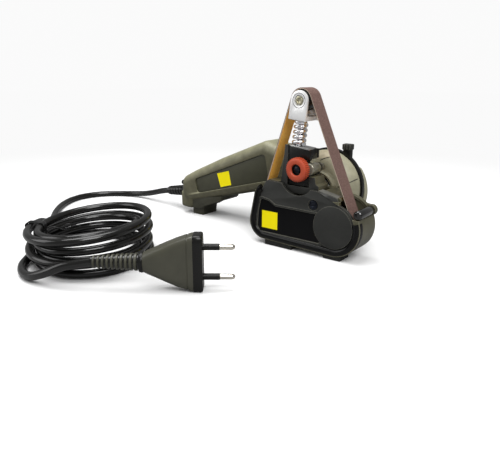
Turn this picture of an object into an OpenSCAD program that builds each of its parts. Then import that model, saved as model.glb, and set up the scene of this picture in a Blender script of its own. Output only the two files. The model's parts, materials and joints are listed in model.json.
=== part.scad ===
// Hand-held electric belt sharpener for knives and tools, with its mains lead.
// Millimetres. X runs along the handle to the nose, Y from the belt to the back, Z up.
// The tool stands on its feet at z = 0. The drawing is laid out from the motor's
// axis and moved so that the origin is under the middle of the tool.

/* [Belt drive] */
// Width of the abrasive belt
belt_width = 12.7; // [10:0.1:13]
// Thickness of the abrasive belt
belt_thick = 1; // [0.6:0.1:1.3]
// Radius of the driven pulley
drive_r = 12.3; // [10:0.1:12.6]
// Radius of the lower idler pulley
low_r = 10; // [8:0.1:11]
// Radius of the pulley on the tension arm
top_r = 7.4; // [6:0.1:7.8]
// Teeth on the motor's pinion
pinion_teeth = 22; // [21:1:23]
// Teeth on the idler gear
idler_teeth = 22; // [21:1:22]
// Teeth on the driven gear
gear_teeth = 23; // [22:1:24]
// Tooth module of the gears
gear_module = 0.75; // [0.73:0.01:0.76]
// Face width of the gears
gear_face = 3; // [2:0.1:3]

/* [Cassette] */
// Radius of the cassette's round nose
nose_r = 20.5; // [20.5:0.1:22]
// Wall of the cassette
cassette_wall = 1.7; // [1.2:0.1:1.8]
// Width of the black rim round the cover
rim_width = 4.2; // [3:0.1:5]
// Diameter of the tracking knob
knob_d = 17; // [14:0.1:17.5]
// Travel of the tension arm
arm_travel = 6; // [3:0.5:6]
// Diameter of the spring's wire
spring_wire = 1.9; // [1:0.1:1.9]
// Curls of the tension spring
spring_curls = 5; // [4:0.5:5]

/* [Head and handle] */
// Largest radius of the motor head
head_r = 27.6; // [27:0.1:29]
// How far the locking ring stands out from the head
ring_proud = 1.4; // [1:0.1:2]
// Length from the motor's axis to the end of the handle
handle_reach = 148.5; // [145:0.5:152]
// Width of the handle
handle_w = 31; // [30:0.5:34]
// Rounding of the handle's edges
handle_round = 8; // [6:0.5:10]

/* [Mains lead] */
// Diameter of the cord
cord_d = 5.6; // [5:0.1:5.8]
// Width of the flat plug
plug_w = 35.3; // [34:0.1:36]
// Thickness of the flat plug
plug_t = 13.7; // [12:0.1:14.5]

/* [Hidden] */
$fn = 64;

// Motor axis and the plane of the belt
axis_z = 42.7;
belt_y = -30.65;
front_y = -42;
back_y = -18;
// Gear train in one line: the idler's and the driven pulley's axes follow from the teeth
gear_angle = -35.7;
idler_span = gear_module * (pinion_teeth + idler_teeth) / 2;
gear_span = idler_span + gear_module * (idler_teeth + gear_teeth) / 2;
idler_x = idler_span * cos(gear_angle);
idler_z = axis_z + idler_span * sin(gear_angle);
drive_x = gear_span * cos(gear_angle);
drive_z = axis_z + gear_span * sin(gear_angle);
gear_y0 = -23.1;
gear_y1 = gear_y0 + gear_face;
gear_tip = gear_module * (gear_teeth / 2 + 0.9);
pinion_tip = gear_module * (pinion_teeth / 2 + 0.9);
idler_tip = gear_module * (idler_teeth / 2 + 0.9);
idler_pin_r = 2.4;
low_x = -31;
low_z = 16;
belt_gap = 0.2;
pulley_half = belt_width / 2 + 0.45;
// Tension arm: its axis leans towards the nose
arm_x = -7.6;
arm_y = -33.2;
arm_z = 74.8;
top_x = -4.1;
top_z = 107;
arm_lean = atan2(top_x - arm_x, top_z - arm_z);
arm_len = norm([top_x - arm_x, top_z - arm_z]);
rod_r = 1.9;
fork_z = 19;
fork_gap = pulley_half + 0.5;
fork_y = belt_y - arm_y;
knob_x = -2.7;
knob_z = 60.1;
knob_y = -44;
sleeve_x = 3.4;
sleeve_z = 60.2;
sleeve_r = 4.3;
screw_r = 1.5;
pivot_y = -32;
pivot_z = 51.5;
// Guide post beside the nose
post_x = 44.6;
post_z = 34.5;
post_r = 3.2;
lug_r = 3.8;
// Screw and post that hold the cover
post_at = [10.8, 36.7];
// Head and handle
ring_r = head_r + ring_proud;
spigot_r = head_r - 1.8;
can_r = head_r - 9.6;
can_in = can_r - 1.8;
rotor_r = can_in - 5.3;
fan_r = head_r - 15.6;
neck_r = 13.4;
// The back is wider below than above
rear_r = head_r + 1.7;
rear_z = axis_z - 3.2;
rear_cut = axis_z + 14.6;
dome_y = 17;
skin = 2;
shaft_r = 2.5;
turret_r = 11.5;
// A larger head lifts the tool on longer feet
rise = head_r - 27.6;
end_dx = 148.5 - handle_reach;
lean_x = [-22, -52, -96, -128, end_dx - 139];
lean_top = [63, 73.6, 56, 41.8, 36.2];
lean_low = [41.2, 34.5, 23.2, 14.9, 11.1];
end_x = 2.5 - handle_reach;
// Trigger and switch
trigger_x = -45;
trigger_z = 42;
// Origin under the middle of the tool
shift_x = (handle_reach - post_x - lug_r) / 2;
shift_y = -(knob_y + dome_y) / 2;
// Cord: the gland points down a little, the coil and the plug face the same way
cord_r = cord_d / 2;
gland_len = 28;
gland_drop = 8;
gland_z = 18.6;
lay_turn = 38;
coil_at = [-108, -138];
coil_a = 42;
coil_b = 49;
coil_pitch = cord_d + 0.8;
coil_lift = cord_d + 0.6;
coil_z0 = cord_r + 1.2;
coil_turns = 6;
coil_fan = 2;
coil_rise = 2.4;
plug_at = [-36, -156];
plug_len = 36;
relief_len = 30;
pin_gap = 18.6;
pin_len = 19;
// Route of the lead from the gland to the coil, and of the tail from the coil to the plug
lead_mid = [[-187, 0, 12.6], [-199, 0.5, 9.4], [-212, 1.5, 6.2], [-226, 1, 3.9], [-240, -4, 2.9],
    [-252, -12, 2.8], [-261, -24, 2.8], [-265, -39, 2.8], [-262, -54, 2.8], [-254, -68, 2.8],
    [-243, -81, 2.8], [-230, -93, 2.8], [-216, -104, 2.8], [-202, -114, 3.4],
    [-188, -124, 5.6], [-175, -133, 10], [-163, -142, 16], [-152, -151.5, 20.6]];
tail_mid = [[-133.5, -173.6, 3.6], [-124, -183.5, 3], [-112, -190, 3], [-99, -192.5, 4.2],
    [-86, -190, 8.6], [-74, -184.4, 14.2]];

body_grey = [0.36, 0.36, 0.29];
dark_grey = [0.16, 0.165, 0.15];
black = [0.05, 0.05, 0.05];
steel = [0.75, 0.76, 0.78];
rubber = [0.08, 0.08, 0.08];
copper = [0.72, 0.43, 0.2];

// Helpers
module placed() {
    translate([shift_x, shift_y, rise]) children();
}

// The lead lies on the floor
module grounded() {
    translate([shift_x, shift_y, 0]) children();
}

// A flat outline in x and z, drawn out from y0 to y1
module along_y(y0, y1) {
    translate([0, y1, 0]) rotate([90, 0, 0]) linear_extrude(y1 - y0) children();
}

module rod_y(x, z, r, y0, y1) {
    translate([x, y0, z]) rotate([-90, 0, 0]) cylinder(r = r, h = y1 - y0);
}

module tube_y(x, z, outer, inner, y0, y1) {
    translate([x, y0, z]) rotate([-90, 0, 0]) rotate_extrude()
        translate([inner, 0]) square([outer - inner, y1 - y0]);
}

// A profile of [radius, y] points turned about the axis through x and z
module turned_y(x, z, profile) {
    translate([x, 0, z]) rotate([-90, 0, 0]) rotate_extrude() polygon(profile);
}

// Places a piece on the leaning axis of the tension arm
module on_arm() {
    translate([arm_x, arm_y, arm_z]) rotate([0, arm_lean, 0]) children();
}

// Places a piece at the plug: x along its pins, y through its thickness
module at_plug() {
    translate([plug_at[0], plug_at[1], plug_w / 2]) rotate([0, 0, lay_turn]) children();
}

function unit(v) = v / norm(v);

// Tube of any route: each ring stands square to the local direction
function route_dir(path, i, first, last) =
    i == 0 ? unit(first) : i == len(path) - 1 ? unit(last) : unit(path[i + 1] - path[i - 1]);
function ring_at(p, d, r, sides) =
    let (s = unit(cross(d, [0, 0, 1])), u = cross(s, d))
    [for (k = [0 : sides - 1]) p + r * (cos(360 * k / sides) * s + sin(360 * k / sides) * u)];

module route_tube(path, r, sides, first, last) {
    rings = [for (i = [0 : len(path) - 1])
        ring_at(path[i], route_dir(path, i, first, last), r, sides)];
    points = [for (ring = rings) each ring];
    sides_faces = [for (i = [0 : len(path) - 2], k = [0 : sides - 1])
        let (a = i * sides + k, b = i * sides + (k + 1) % sides)
        each [[a, a + sides, b], [b, a + sides, b + sides]]];
    top = (len(path) - 1) * sides;
    ends = [for (k = [1 : sides - 2]) each [[0, k, k + 1], [top, top + k + 1, top + k]]];
    polyhedron(points, concat(sides_faces, ends));
}

// Least distance between points of a tube that lie more than a stretch apart along it
function least_gap(path, apart) = min([for (i = [0 : len(path) - 1], j = [i + apart : 1 : len(path) - 1])
    norm(path[i] - path[j])]);

// Gears
function involute(q) = sqrt(q * q - 1) * 180 / PI - atan(sqrt(q * q - 1));
function tooth_half(rad, teeth, slack) =
    let (pitch = gear_module * teeth / 2, base = pitch * cos(20))
    90 / teeth - slack / pitch * 90 / PI + involute(1 / cos(20)) - involute(max(1, rad / base));
function tooth_radii(teeth) =
    let (pitch = gear_module * teeth / 2, foot = max(pitch * cos(20), pitch - 0.9 * gear_module))
    [for (k = [0 : 3]) foot + (pitch + 0.9 * gear_module - foot) * k / 3];

module gear_outline(teeth, slack) {
    radii = tooth_radii(teeth);
    root = gear_module * (teeth / 2 - 1.2);
    step = 360 / teeth;
    polygon([for (i = [0 : teeth - 1]) each concat(
        [root * [cos((i - 0.3) * step), sin((i - 0.3) * step)]],
        [for (k = [0 : 3]) let (a = i * step - tooth_half(radii[k], teeth, slack))
            radii[k] * [cos(a), sin(a)]],
        [for (k = [3 : -1 : 0]) let (a = i * step + tooth_half(radii[k], teeth, slack))
            radii[k] * [cos(a), sin(a)]],
        [root * [cos((i + 0.3) * step), sin((i + 0.3) * step)]])]);
}

// Head: a round shoulder in front of the ring, a short tapered back behind it
function shoulder(grow) = [for (a = [0 : 10 : 90])
    [neck_r + (head_r - neck_r + grow) * sin(a), -15.5 + 12.4 * (1 - cos(a)) - grow * cos(a)]];
function rear_profile(r, cut, steps) = concat([[0, 1.2 - 0.2 * cut]],
    [for (p = steps) [r - p[0] - cut, p[1] < 1.5 ? 1.2 - 0.2 * cut : min(p[1], dome_y - cut)]],
    [[0, dome_y - cut]]);
rear_upper = [[0.6, 1.2], [1.4, 4], [4, 8], [8, 12], [13, 14.8], [17, 17]];
rear_lower = [[0, 1.2], [0.2, 6.5], [1.8, 9.5], [5, 12.6], [9.5, 14.8], [13, 17]];

module rear_shape(cut) {
    turned_y(0, axis_z, rear_profile(head_r, cut, rear_upper));
    intersection() {
        turned_y(0, rear_z, rear_profile(rear_r, cut, rear_lower));
        translate([-60, -10, -20]) cube([120, 60, 20 + rear_cut - cut]);
    }
}

module head_front() {
    placed() color(body_grey) turned_y(0, axis_z, concat([[turret_r + 0.1, -17.7], [neck_r - 0.6, -17.7]],
        shoulder(0), [[spigot_r, -3.1], [spigot_r, 1.1], [can_r + 0.1, 1.1], [can_r + 0.1, -3.6],
        [can_r - 1.4, -3.6], [can_r - 1.4, -8.4], [turret_r + 2, -11], [turret_r + 0.1, -11]]));
}

module head_rear() {
    placed() color(body_grey) difference() {
        rear_shape(0);
        rear_shape(skin);
        // cooling slots round the back
        for (a = [0 : 30 : 330])
            translate([0, 0, axis_z]) rotate([0, a, 0]) translate([6, dome_y - 4.5, -1.1])
                cube([8.5, 8, 2.2]);
    }
}

// Black locking ring with the thumb lug that turns it
module locking_ring() {
    placed() color(black) difference() {
        union() {
            tube_y(0, axis_z, ring_r, spigot_r + 0.05, -2.8, 0.9);
            translate([0.41 * ring_r, -3, axis_z + 0.69 * ring_r]) cube([5.6, 4.7, 0.31 * ring_r + 3.4]);
        }
        rod_y(0, axis_z, spigot_r + 0.05, -12, 8);
        rod_y(0, axis_z, head_r + 0.4, -12, -2.8);
        rod_y(0, axis_z, head_r + 0.4, 0.9, 12);
    }
}

module head_foot() {
    placed() color(rubber) difference() {
        translate([-11, 2, -rise]) cube([22, 7.6, 14 + rise]);
        turned_y(0, rear_z, rear_profile(rear_r, -0.1, rear_lower));
    }
}

// Handle
module handle_body() {
    intersection() {
        union() {
            hull() for (i = [0 : 4], s = [-1, 1],
                z = [lean_top[i] - handle_round, lean_low[i] + handle_round])
                translate([lean_x[i], s * (handle_w / 2 - handle_round), z])
                    sphere(handle_round, $fn = 30);
            // heel over the foot
            hull() for (x = [-144, -137], s = [-1, 1], z = [9.5, 18])
                translate([end_dx + x, s * (handle_w / 2 - 5), z]) sphere(4, $fn = 20);
        }
        translate([end_x, -30, -5]) cube([200, 60, 100]);
    }
}

// Room for the head, the ring, the trigger and the switch
module handle_hollow() {
    turned_y(0, axis_z, concat([[0, -30], [neck_r, -30]], shoulder(0.15),
        [[ring_r + 0.4, -3.1], [ring_r + 0.4, 1.5], [0, 1.5]]));
    rear_shape(-0.15);
    along_y(-6, 6) hull() {
        translate([trigger_x, trigger_z]) circle(4.6, $fn = 32);
        translate([trigger_x - 13.2, trigger_z - 5.2]) circle(6.4, $fn = 32);
    }
    translate([trigger_x - 22, -7, trigger_z + 3]) cube([18, 14, 14]);
    translate([trigger_x - 16.5, -3, trigger_z - 2]) cube([7, 6, 6]);
    rod_y(trigger_x, trigger_z, 1.52, -9.1, 9.1);
}

module panel_outline(grow) {
    offset(r = 3 + grow, $fn = 32) offset(delta = -3)
        polygon([[-50.2, 64.1], [-46.2, 43], [-124.6, 21.8], [-127.2, 34.3]]);
}

// Screw places on the back of the handle
screw_spots = [[-54, 57], [-84, 45], [-112, 34], [-136, 24]];

module handle_front() {
    placed() color(body_grey) difference() {
        intersection() {
            handle_body();
            translate([-200, -40, -10]) cube([200, 39.98, 120]);
        }
        handle_hollow();
        along_y(-handle_w / 2 - 1, 1.5 - handle_w / 2) panel_outline(0.15);
    }
}

module handle_rear() {
    placed() color(body_grey) difference() {
        intersection() {
            handle_body();
            translate([-200, 0.02, -10]) cube([200, 40, 120]);
        }
        handle_hollow();
        for (p = screw_spots)
            rod_y(p[0], p[1], 3.3, handle_w / 2 - 4, handle_w / 2 + 1);
    }
}

module handle_panel() {
    placed() color(dark_grey) along_y(0.8 - handle_w / 2, 1.45 - handle_w / 2) panel_outline(0);
}

module handle_screws() {
    placed() color(steel) for (p = screw_spots) difference() {
        rod_y(p[0], p[1], 3, handle_w / 2 - 3.95, handle_w / 2 - 1.5);
        rod_y(p[0], p[1], 1.3, handle_w / 2 - 2.8, handle_w / 2);
    }
}

// Rubber foot under the end of the handle, on a pad that stands further back
module handle_foot() {
    placed() color(rubber) difference() {
        translate([end_dx, 0, 0]) {
            along_y(-12.5, 12.5) polygon([[-99.6, 18.1], [-101.6, 16.5], [-117.6, 10.6], [-123, 7.6],
                [-135.4, 6.2], [-139.5, 7], [-139.5, 14.5], [-137, 14.8], [-98.5, 21.8]]);
            along_y(-9, 9) polygon([[-136, -rise], [-124, -rise], [-122.5, 9], [-137, 9]]);
        }
        translate([0, 0, -0.1]) handle_body();
    }
}

// Plate round the gland, and four bumps the tool can rest on
module end_cap() {
    placed() color(black) translate([-handle_reach, 0, gland_z]) rotate([0, 90, 0])
        linear_extrude(2.4) {
            difference() {
                offset(r = 4, $fn = 32) square([8, 7], center = true);
                circle(4.2);
            }
            for (s = [-1, 1], t = [-1, 1]) translate([s * 9.5, t * 9.5]) circle(2.2);
        }
}

module trigger() {
    placed() color(black) difference() {
        union() {
            along_y(-5.5, 5.5) hull() {
                translate([trigger_x, trigger_z]) circle(4, $fn = 32);
                translate([trigger_x - 13, trigger_z - 7]) circle(4.5, $fn = 32);
            }
            translate([trigger_x - 15, -2, trigger_z - 5]) cube([4, 4, 6.5]);
        }
        rod_y(trigger_x, trigger_z, 1.55, -6, 6);
        rod_y(trigger_x - 8, trigger_z - 20, 10.5, -6, 6);
    }
}

module trigger_pin() {
    placed() color(steel) rod_y(trigger_x, trigger_z, 1.5, -9, 9);
}

module switch_body() {
    placed() color(black) {
        translate([trigger_x - 21.5, -6.5, trigger_z + 5]) cube([17, 13, 11.5]);
        translate([trigger_x - 15, -2, trigger_z + 3.5]) cube([4, 4, 1.6]);
    }
}

// Motor
module motor_can() {
    placed() color(steel) turned_y(0, axis_z, [[6.55, -8.2], [9, -8.2], [9, -3.4], [can_r, -3.4],
        [can_r, 9.5], [can_in, 9.5], [can_in, -1.6], [4, -1.6], [4, -3.4], [6.55, -3.4]]);
}

module motor_endplate() {
    placed() color(dark_grey) turned_y(0, axis_z, [[4, 7.4], [can_in - 0.05, 7.4], [can_in - 0.05, 9.2],
        [9, 9.2], [9, 11.9], [6.55, 11.9], [6.55, 8.2], [4, 8.2]]);
}

module motor_magnets() {
    placed() color(dark_grey) difference() {
        tube_y(0, axis_z, can_in - 0.05, rotor_r + 0.5, -1.2, 4.4);
        for (s = [-1, 1]) translate([-40, -2, axis_z + s * 18 - 10]) cube([80, 14, 20]);
    }
}

module brush_holders() {
    placed() color([0.35, 0.25, 0.15]) for (a = [0, 180]) translate([0, 0, axis_z]) rotate([0, a, 0])
        difference() {
            translate([-3.2, 4.4, 7.2]) cube([6.4, 2.95, can_in - 7.8]);
            translate([-2.1, 5, 6]) cube([4.2, 1.8, can_in]);
        }
}

module carbon_brushes() {
    placed() color(black) for (a = [0, 180]) translate([0, 0, axis_z]) rotate([0, a, 0]) difference() {
        translate([-2, 5.1, 5.8]) cube([4, 1.6, can_in - 7.8]);
        rod_y(0, 0, 6.1, 4, 8);
    }
}

module bearing(x, z, outer, inner, y0, y1) {
    tube_y(x, z, outer, inner, y0, y1);
}

module motor_bearings() {
    placed() color(steel) {
        bearing(0, axis_z, 6.5, shaft_r + 0.03, -8.1, -3.5);
        bearing(0, axis_z, 6.5, shaft_r + 0.03, 8.3, 11.8);
    }
}

module motor_shaft() {
    placed() color(steel) rod_y(0, axis_z, shaft_r, gear_y0, 14.2);
}

module rotor_core() {
    placed() color(steel) difference() {
        tube_y(0, axis_z, rotor_r, shaft_r + 0.02, -1, 4.2);
        for (a = [0 : 36 : 324])
            translate([0, -2, axis_z]) rotate([0, a, 0]) translate([6.5, 0, -0.9]) cube([rotor_r, 8, 1.8]);
    }
}

module commutator() {
    placed() color(copper) tube_y(0, axis_z, 6, shaft_r + 0.02, 4.7, 7.2);
}

module cooling_fan() {
    placed() color(black) {
        tube_y(0, axis_z, fan_r, shaft_r + 0.02, 13.2, 14);
        tube_y(0, axis_z, 5, shaft_r + 0.02, 12.2, 13.2);
        for (a = [0 : 45 : 315])
            translate([0, 12.2, axis_z]) rotate([0, a, 0]) translate([4.5, 0, -0.5])
                cube([fan_r - 4.7, 1.05, 1]);
    }
}

module pinion() {
    placed() color(steel) difference() {
        translate([0, 0, axis_z]) along_y(gear_y0, gear_y1)
            rotate(gear_angle) gear_outline(pinion_teeth, 0.12);
        rod_y(0, axis_z, shaft_r + 0.02, gear_y0 - 1, gear_y1 + 1);
    }
}

// Cassette
module cassette_outline(inset, top_inset) {
    hull() {
        translate([drive_x, drive_z]) circle(nose_r - inset);
        translate([low_x, low_z + 1.2]) circle(13 - inset);
        translate([-30, 37]) circle(10 - inset);
        translate([-27.5, 47]) circle(3 - top_inset, $fn = 32);
        translate([13, 44]) circle(3 - top_inset, $fn = 32);
    }
}

// The loop of the belt, grown to both sides
module belt_loop(outer, inner) {
    difference() {
        loop_hull(belt_gap + belt_thick + outer);
        loop_hull(belt_gap - inner);
    }
}

module loop_hull(grow) {
    hull() {
        translate([drive_x, drive_z]) circle(drive_r + grow);
        translate([low_x, low_z]) circle(low_r + grow);
        translate([top_x, top_z]) circle(top_r + grow);
    }
}

module housing_shell() {
    difference() {
        along_y(front_y, back_y) cassette_outline(0, 0);
        // the rim stays solid round the cover, the wall behind it is thinner
        along_y(front_y - 1, -38.7) cassette_outline(rim_width - 0.15, 0.05);
        along_y(-38.8, back_y - cassette_wall) cassette_outline(cassette_wall, cassette_wall);
        // the cover lies flush with the top edge
        along_y(front_y - 1, -38.8) translate([-60, 41.5]) square([91.5, 30]);
    }
    // round gear case and the spigot that turns in the head
    rod_y(0, axis_z, pinion_tip + 1.35, -24.7, back_y);
    rod_y(0, axis_z, turret_r, back_y - 0.1, -11.4);
    // bearing boss, pulley boss, and the cover's post on its plate
    rod_y(drive_x, drive_z, 8, back_y - 1, -15.4);
    rod_y(low_x, low_z, 4.5, -23.5, back_y);
    rod_y(post_at[0], post_at[1], 4, -38.9, -24);
    along_y(-24.6, -23.6) hull() {
        translate([0, axis_z]) circle(pinion_tip + 0.9);
        translate(post_at) circle(5);
    }
    // web and lug that carry the guide post
    along_y(back_y - 3, back_y) hull() {
        translate([post_x, post_z]) circle(lug_r - 0.25, $fn = 32);
        translate([drive_x + 2, drive_z + 9]) circle(8, $fn = 32);
    }
    rod_y(post_x, post_z, lug_r, back_y - 3, -17.5);
}

module cassette_housing() {
    placed() color(dark_grey) {
        difference() {
            housing_shell();
            rod_y(0, axis_z, pinion_tip + 0.35, -23.5, back_y - cassette_wall);
            rod_y(drive_x, drive_z, gear_tip + 0.35, -23.5, back_y - cassette_wall);
            rod_y(idler_x, idler_z, idler_tip + 0.35, -23.5, back_y - cassette_wall);
            rod_y(0, axis_z, turret_r - 2.2, back_y - 0.5, -10);
            rod_y(0, axis_z, 4, -21, -10);
            rod_y(drive_x, drive_z, 5.05, back_y - 3, -16.2);
            rod_y(drive_x, drive_z, 3.5, -24, -15);
            rod_y(low_x, low_z, 2.02, -24, back_y - 0.8);
            rod_y(post_at[0], post_at[1], 1.55, -40, -26);
            rod_y(post_x, post_z, post_r + 0.05, -22, back_y - 0.8);
            // mouth for the belt at the nose, slots for the belt and the seat of the tower
            translate([31, front_y - 1, post_z - post_r - 0.1]) cube([30, 21.5, 30]);
            along_y(belt_y - pulley_half - 1, belt_y + pulley_half + 0.3) belt_loop(1.6, 2);
            translate([-20, -38.9, 42]) cube([35.5, 14.1, 20]);
        }
        // stub that the idler gear turns on
        rod_y(idler_x, idler_z, idler_pin_r, -23.3, back_y - cassette_wall + 0.3);
    }
}

module notch() {
    translate([-3, 56]) circle(14.5);
}

module cassette_cover() {
    placed() color(dark_grey) difference() {
        union() {
            along_y(-41.2, -39) difference() {
                cassette_outline(rim_width, 0.2);
                notch();
            }
            rod_y(drive_x, drive_z, 15, -42.2, -41.1);
            rod_y(drive_x, drive_z, 7, -39.1, -38.2);
            rod_y(low_x, low_z, 4.5, -39.1, -38.2);
            // raised border of the label field
            along_y(-41.7, -41.1) difference() {
                offset(r = 2, $fn = 24) label_field(1.5);
                offset(r = 2, $fn = 24) label_field(0.3);
                translate([drive_x, drive_z]) circle(15.5);
            }
        }
        rod_y(drive_x, drive_z, 5.05, -41.2, -38);
        rod_y(low_x, low_z, 2.02, -40.5, -38);
        rod_y(post_at[0], post_at[1], 4, -43, -40.2);
        rod_y(post_at[0], post_at[1], 1.7, -43, -38);
        along_y(-42, -40.8) intersection() {
            offset(r = 2, $fn = 24) label_field(0);
            difference() {
                square(400, center = true);
                translate([drive_x, drive_z]) circle(15.6);
            }
        }
    }
}

// Lower left field of the cover
module label_field(grow) {
    offset(delta = grow) polygon([[-35, 14], [-34.4, 24], [-32.4, 33], [-27.5, 32.2], [-21.8, 28.8],
        [13, 28.5], [15.5, 12], [-33.5, 12]]);
}

module label_plate() {
    placed() color(black) along_y(-41.1, -40.85) difference() {
        offset(r = 1.9, $fn = 24) label_field(0);
        translate([drive_x, drive_z]) circle(15.8);
    }
}

module label_patch() {
    placed() color([0.9, 0.8, 0.05]) translate([-33, -41.25, 13]) cube([14, 0.12, 13.2]);
}

module cover_screw() {
    placed() color(steel) difference() {
        union() {
            rod_y(post_at[0], post_at[1], 3.2, -41, -40.25);
            rod_y(post_at[0], post_at[1], 1.5, -40.3, -27);
        }
        along_y(-42, -40.6) translate(post_at) circle(1.5, $fn = 6);
    }
}

module cassette_feet() {
    placed() color(rubber) difference() {
        union() {
            translate([20.5, -41.5, -rise]) cube([13.5, 13, 8 + rise]);
            translate([-30, -41.5, -rise]) cube([24, 19, 9 + rise]);
        }
        along_y(front_y - 1, -20) cassette_outline(-0.08, -0.08);
    }
}

module guide_post() {
    placed() color(black) {
        rod_y(post_x, post_z, post_r, -40.5, back_y - 0.9);
        turned_y(post_x, post_z, [[0, -41.5], [post_r - 1, -41.5], [post_r, -40.5], [0, -40.5]]);
    }
}

// Belt pulleys, crowned so that the belt stays centred
module crowned(x, z, r, bore) {
    turned_y(x, z, [[bore, belt_y - pulley_half], [r - 0.35, belt_y - pulley_half],
        [r, belt_y - 2], [r, belt_y + 2], [r - 0.35, belt_y + pulley_half],
        [bore, belt_y + pulley_half]]);
}

module drive_pulley() {
    placed() color(steel) crowned(drive_x, drive_z, drive_r, shaft_r + 0.02);
}

// The idler turns the sense of the drive round, on a stub of the housing
module idler_gear() {
    placed() color(copper) difference() {
        translate([idler_x, 0, idler_z]) along_y(gear_y0, gear_y1)
            rotate(gear_angle + 180 + 180 / idler_teeth) gear_outline(idler_teeth, 0.12);
        rod_y(idler_x, idler_z, idler_pin_r + 0.04, gear_y0 - 1, gear_y1 + 1);
    }
}

module drive_gear() {
    placed() color(copper) difference() {
        translate([drive_x, 0, drive_z]) along_y(gear_y0, gear_y1)
            rotate(gear_angle + 180 + (idler_teeth % 2) * 180 / gear_teeth) gear_outline(gear_teeth, 0.12);
        rod_y(drive_x, drive_z, shaft_r + 0.02, gear_y0 - 1, gear_y1 + 1);
    }
}

module drive_shaft() {
    placed() color(steel) rod_y(drive_x, drive_z, shaft_r, -41, -16.4);
}

module drive_bearings() {
    placed() color(steel) {
        bearing(drive_x, drive_z, 5, shaft_r + 0.03, -41.1, -38.3);
        bearing(drive_x, drive_z, 5, shaft_r + 0.03, -19.5, -16.3);
    }
}

module low_pulley() {
    placed() color(steel) crowned(low_x, low_z, low_r, 2.04);
}

module low_pin() {
    placed() color(steel) rod_y(low_x, low_z, 2, -40.4, back_y - 0.9);
}

module belt() {
    placed() color([0.42, 0.25, 0.2]) along_y(belt_y - belt_width / 2, belt_y + belt_width / 2)
        belt_loop(0, 0);
}

// Tower and tension arm
module arm_tower() {
    placed() color(dark_grey) difference() {
        along_y(-38, -25) polygon([[-19.5, 42.3], [13, 42.3], [13, 49.5], [10.6, 50.6], [9.6, 56],
            [7.2, 66.5], [6.6, 76.5], [-15.6, 76.5]]);
        translate([-13.2, -39, 47.5]) cube([18.2, 12.1, 40]);
        // open side beside the sleeve
        translate([-0.9, -39, sleeve_z - sleeve_r - 0.4]) cube([20, 20, 12]);
        translate([-13.2, -39, 74]) cube([18.2, 20, 10]);
        rod_y(knob_x, knob_z, 5, -30, -20);
        translate([-30, pivot_y, pivot_z]) rotate([0, 90, 0]) cylinder(r = 1.55, h = 37.5);
    }
}

module arm_carriage() {
    placed() color(black) difference() {
        translate([-12.9, -37.2, 48.3]) cube([17.5, 9.5, 32]);
        on_arm() translate([-30, -20, 0]) cube([60, 40, 30]);
        on_arm() translate([0, 0, -8 - arm_travel]) cylinder(r = rod_r + 0.05, h = 30);
        // open side beside the sleeve, which rests in a half round seat
        translate([knob_x + 2.3, -40, 58]) cube([20, 20, 9.3]);
        rod_y(sleeve_x, sleeve_z, sleeve_r + 0.03, -40, -20);
        rod_y(knob_x, knob_z, screw_r + 0.05, -40, -20);
        translate([-30, pivot_y, pivot_z]) rotate([0, 90, 0]) cylinder(r = 1.55, h = 60);
    }
}

module carriage_pin() {
    placed() color(steel) translate([-18.2, pivot_y, pivot_z]) rotate([0, 90, 0])
        cylinder(r = 1.5, h = 25.6);
}

// Grey sleeve with a waist for the black ring and a bright tip
module tracking_sleeve() {
    placed() color([0.5, 0.5, 0.45]) turned_y(sleeve_x, sleeve_z, [[0, -37], [sleeve_r - 0.5, -37],
        [sleeve_r, -36.5], [sleeve_r, -26.4], [2.6, -26.4], [2.6, -24], [2.9, -24], [2.9, -18.6],
        [2.3, -18], [0, -18]]);
}

module tracking_ring() {
    placed() color(black) tube_y(sleeve_x, sleeve_z, 4.1, 2.65, -26.3, -24.1);
}

module tracking_screw() {
    placed() color(steel) {
        rod_y(knob_x, knob_z, screw_r, -41.1, -28.2);
        along_y(-42.2, -41.05) translate([knob_x, knob_z]) circle(2.6, $fn = 6);
    }
}

module tracking_knob() {
    placed() color([0.8, 0.22, 0.12]) difference() {
        turned_y(knob_x, knob_z, [[screw_r + 0.02, -38.4], [knob_d / 2 - 0.6, -38.4], [knob_d / 2, -39],
            [knob_d / 2, knob_y + 0.8], [knob_d / 2 - 0.8, knob_y], [3.9, knob_y], [3.9, -41],
            [screw_r + 0.02, -41]]);
        // knurled rim
        for (a = [0 : 10 : 350])
            translate([knob_x, 0, knob_z]) rotate([0, a, 0]) rod_y(knob_d / 2 + 0.2, 0, 0.45, -45, -38);
    }
}

// Plate on top of the carriage that the spring stands on
module spring_washer() {
    placed() color(steel) on_arm() difference() {
        translate([-5.1, -3.8, 0.05]) cube([16.5, 9.3, 1.1]);
        translate([0, 0, -1]) cylinder(r = rod_r + 0.3, h = 5);
    }
}

// Helix of the tension spring with flat ends
spring_z0 = 1.25 + spring_wire / 2;
spring_z1 = fork_z - 0.15 - spring_wire / 2;
spring_ring = 4.6;
function spring_point(t) = let (a = 360 * spring_curls * t,
    up = t < 0.08 ? 0 : t > 0.92 ? 1 : (t - 0.08) / 0.84)
    [spring_ring * cos(a), spring_ring * sin(a), spring_z0 + (spring_z1 - spring_z0) * up];
spring_steps = round(spring_curls * 8);
spring_path = [for (i = [0 : spring_steps]) spring_point(i / spring_steps)];
echo(spring_gap = least_gap(spring_path, 6) - spring_wire);

module tension_spring() {
    placed() color(steel) on_arm()
        route_tube(spring_path, spring_wire / 2, 6, [0, 1, 0],
            [-sin(360 * spring_curls), cos(360 * spring_curls), 0]);
}

module tension_rod() {
    placed() color(steel) on_arm() translate([0, 0, -7]) cylinder(r = rod_r, h = fork_z + 6.9);
}

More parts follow.
